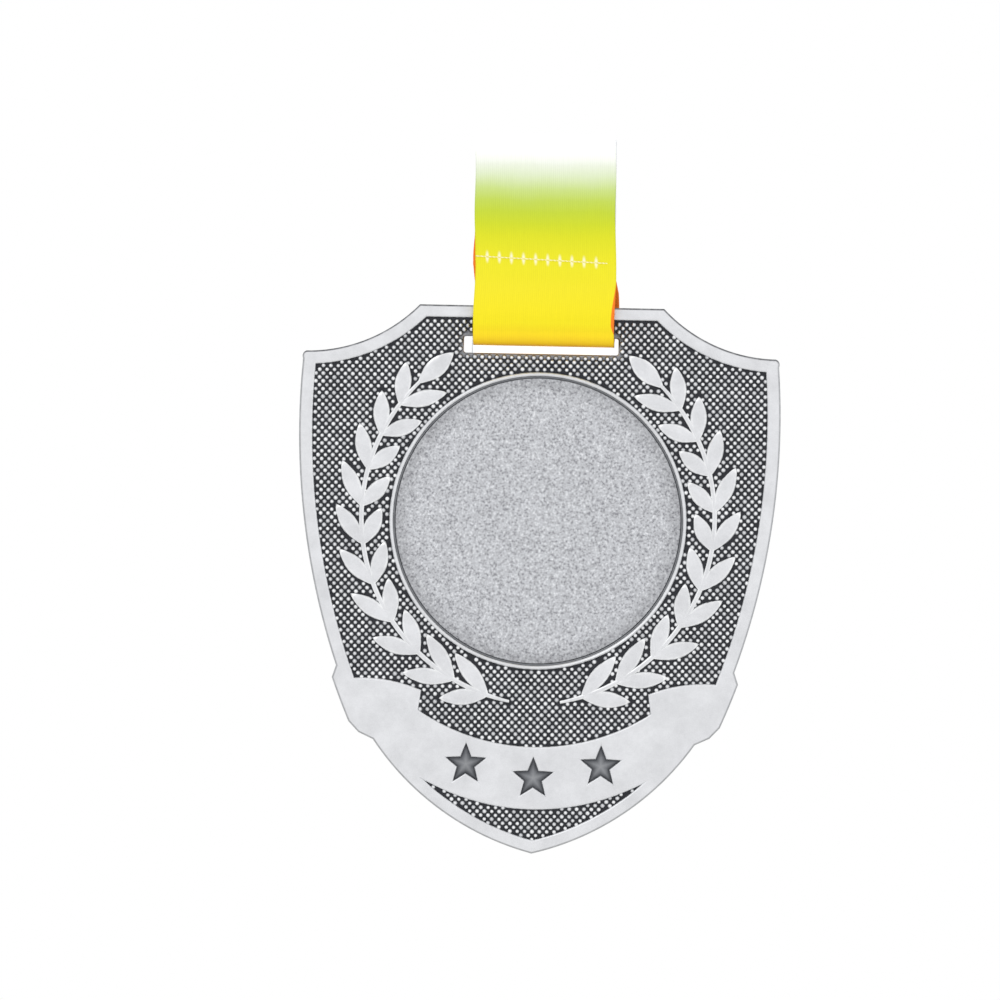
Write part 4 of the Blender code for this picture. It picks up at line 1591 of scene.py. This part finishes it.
class MEDAL_OT_sew_ribbon(Operator):
    """Builds the neck ribbon as one band, from its sewn end to the hank and back"""

    bl_idname = "medal.sew_ribbon"
    bl_label = "Sew Ribbon"

    def execute(self, context):
        settings = context.scene.medal_ribbon
        mesh, runs, marks, path = ribbon_mesh(settings)
        ribbon = finished("neck_ribbon", mesh, 60.0)
        ribbon.data.materials.append(satin_ribbon(settings, runs, marks, path))
        cloth = ribbon.modifiers.new("Thickness", "SOLIDIFY")
        cloth.thickness = CLOTH_THICKNESS * MM
        cloth.offset = 0.0
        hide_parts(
            "ribbon_hanger_loop", "ribbon_inner_strand", "ribbon_fold", "ribbon_hank"
        )
        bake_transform(ribbon)
        return {"FINISHED"}


class MEDAL_OT_stitch_seam(Operator):
    """Builds the needle and the bobbin thread of the ribbon's seam"""

    bl_idname = "medal.stitch_seam"
    bl_label = "Stitch Seam"

    def execute(self, context):
        settings = context.scene.medal_ribbon
        finish = cotton_thread(settings)
        face = RIBBON_THICKNESS / 2 + 0.08
        for node, y, outward in (
            ("seam_needle_thread", -PLY_OUTER - face, -1.0),
            ("seam_bobbin_thread", MEDAL_Y + PLY_STEP + face, 1.0),
        ):
            name = node.replace("seam_", "stitched_")
            thread = finished(name, joined(name, [seam_mesh(name, settings, y, outward)]), 60.0)
            thread.data.materials.append(finish)
            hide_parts(node)
            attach(thread, "hanger")
        return {"FINISHED"}


class MEDAL_OT_tie_hank(Operator):
    """Builds the elastic tie round the stowed ribbon"""

    bl_idname = "medal.tie_hank"
    bl_label = "Tie Hank"

    def execute(self, context):
        tie = finished("elastic_tie", joined("elastic_tie", [tie_mesh("tie")]), 50.0)
        tie.data.materials.append(knitted_elastic())
        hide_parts("hank_tie")
        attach(tie, "stowed_ribbon")
        return {"FINISHED"}


def soft_light(name, place, target, size, power):
    """An area light at a place, turned to a target."""
    data = bpy.data.lights.new(name, "AREA")
    data.shape = "DISK"
    data.size = size
    data.energy = power
    lamp = bpy.data.objects.new(name, data)
    lamp.location = place
    lamp.rotation_euler = (Vector(target) - Vector(place)).to_track_quat("-Z", "Y").to_euler()
    bpy.context.scene.collection.objects.link(lamp)


class MEDAL_OT_set_stage(Operator):
    """Sets the floor, the light and the camera"""

    bl_idname = "medal.set_stage"
    bl_label = "Set Stage"

    def execute(self, context):
        settings = context.scene.medal_stage
        scene = context.scene
        bm = bmesh.new()
        bmesh.ops.create_circle(bm, cap_ends=True, segments=96, radius=FLOOR_RADIUS)
        mesh = bpy.data.meshes.new("floor")
        bm.to_mesh(mesh)
        bm.free()
        floor = bpy.data.objects.new("floor", mesh)
        floor.location.z = -settings.floor_drop
        mesh.materials.append(matt_floor())
        scene.collection.objects.link(floor)
        world = bpy.data.worlds.new("white_surround")
        world.use_nodes = True
        sky = world.node_tree.nodes["Background"]
        sky.inputs["Color"].default_value = (1.0, 1.0, 1.0, 1.0)
        sky.inputs["Strength"].default_value = settings.sky
        scene.world = world
        scene.view_settings.view_transform = "Standard"
        centre = Vector((0.0, MEDAL_Y * MM, DISC_Z * MM))
        soft_light("key", centre + Vector((-0.25, -0.45, 0.4)), centre, 0.22, settings.key)
        soft_light("fill", centre + Vector((0.4, -0.35, 0.05)), centre, 0.4, settings.key / 4)
        soft_light("back", centre + Vector((0.1, 0.5, 0.3)), centre, 0.4, settings.key / 3)
        data = bpy.data.cameras.new("camera")
        data.lens = settings.lens
        data.sensor_width = SENSOR_WIDTH
        data.clip_start = 0.01
        camera = bpy.data.objects.new("camera", data)
        away = settings.frame_width * settings.lens / SENSOR_WIDTH
        aim = Vector((AIM_X * MM, FRONT_Y * MM - away, (DISC_Z + AIM_RISE) * MM))
        look = Matrix.Rotation(math.pi / 2, 4, "X") @ Matrix.Rotation(settings.roll, 4, "Z")
        camera.matrix_world = Matrix.Translation(aim) @ look
        scene.collection.objects.link(camera)
        scene.camera = camera
        return {"FINISHED"}


STEPS = (
    MEDAL_OT_cast_shield,
    MEDAL_OT_set_insert,
    MEDAL_OT_lay_adhesive,
    MEDAL_OT_sew_ribbon,
    MEDAL_OT_stitch_seam,
    MEDAL_OT_tie_hank,
    MEDAL_OT_set_stage,
)


SETTINGS = {
    "medal_shield": ShieldSettings,
    "medal_insert": InsertSettings,
    "medal_ribbon": RibbonSettings,
    "medal_stage": StageSettings,
}


class MEDAL_PT_build(Panel):
    """Lists the medal's pieces in the order they are built"""

    bl_idname = "MEDAL_PT_build"
    bl_label = "Finisher Medal"
    bl_space_type = "VIEW_3D"
    bl_region_type = "UI"
    bl_category = "Medal"

    def draw(self, context):
        for step in STEPS:
            self.layout.operator(step.bl_idname)
        for group in SETTINGS:
            box = self.layout.box()
            owner = getattr(context.scene, group)
            for name in SETTINGS[group].__annotations__:
                box.prop(owner, name)


def register():
    """Registers the settings, the operators and the panel."""
    for group, kind in SETTINGS.items():
        bpy.utils.register_class(kind)
        setattr(bpy.types.Scene, group, PointerProperty(type=kind))
    for kind in (*STEPS, MEDAL_PT_build):
        bpy.utils.register_class(kind)


def unregister():
    """Takes away what register added."""
    for kind in (MEDAL_PT_build, *reversed(STEPS)):
        bpy.utils.unregister_class(kind)
    for group, kind in reversed(SETTINGS.items()):
        delattr(bpy.types.Scene, group)
        bpy.utils.unregister_class(kind)


def main():
    """Builds every piece in order."""
    register()
    bpy.ops.medal.cast_shield()
    bpy.ops.medal.set_insert()
    bpy.ops.medal.lay_adhesive()
    bpy.ops.medal.sew_ribbon()
    bpy.ops.medal.stitch_seam()
    bpy.ops.medal.tie_hank()
    bpy.ops.medal.set_stage()


if __name__ == "__main__":
    main()
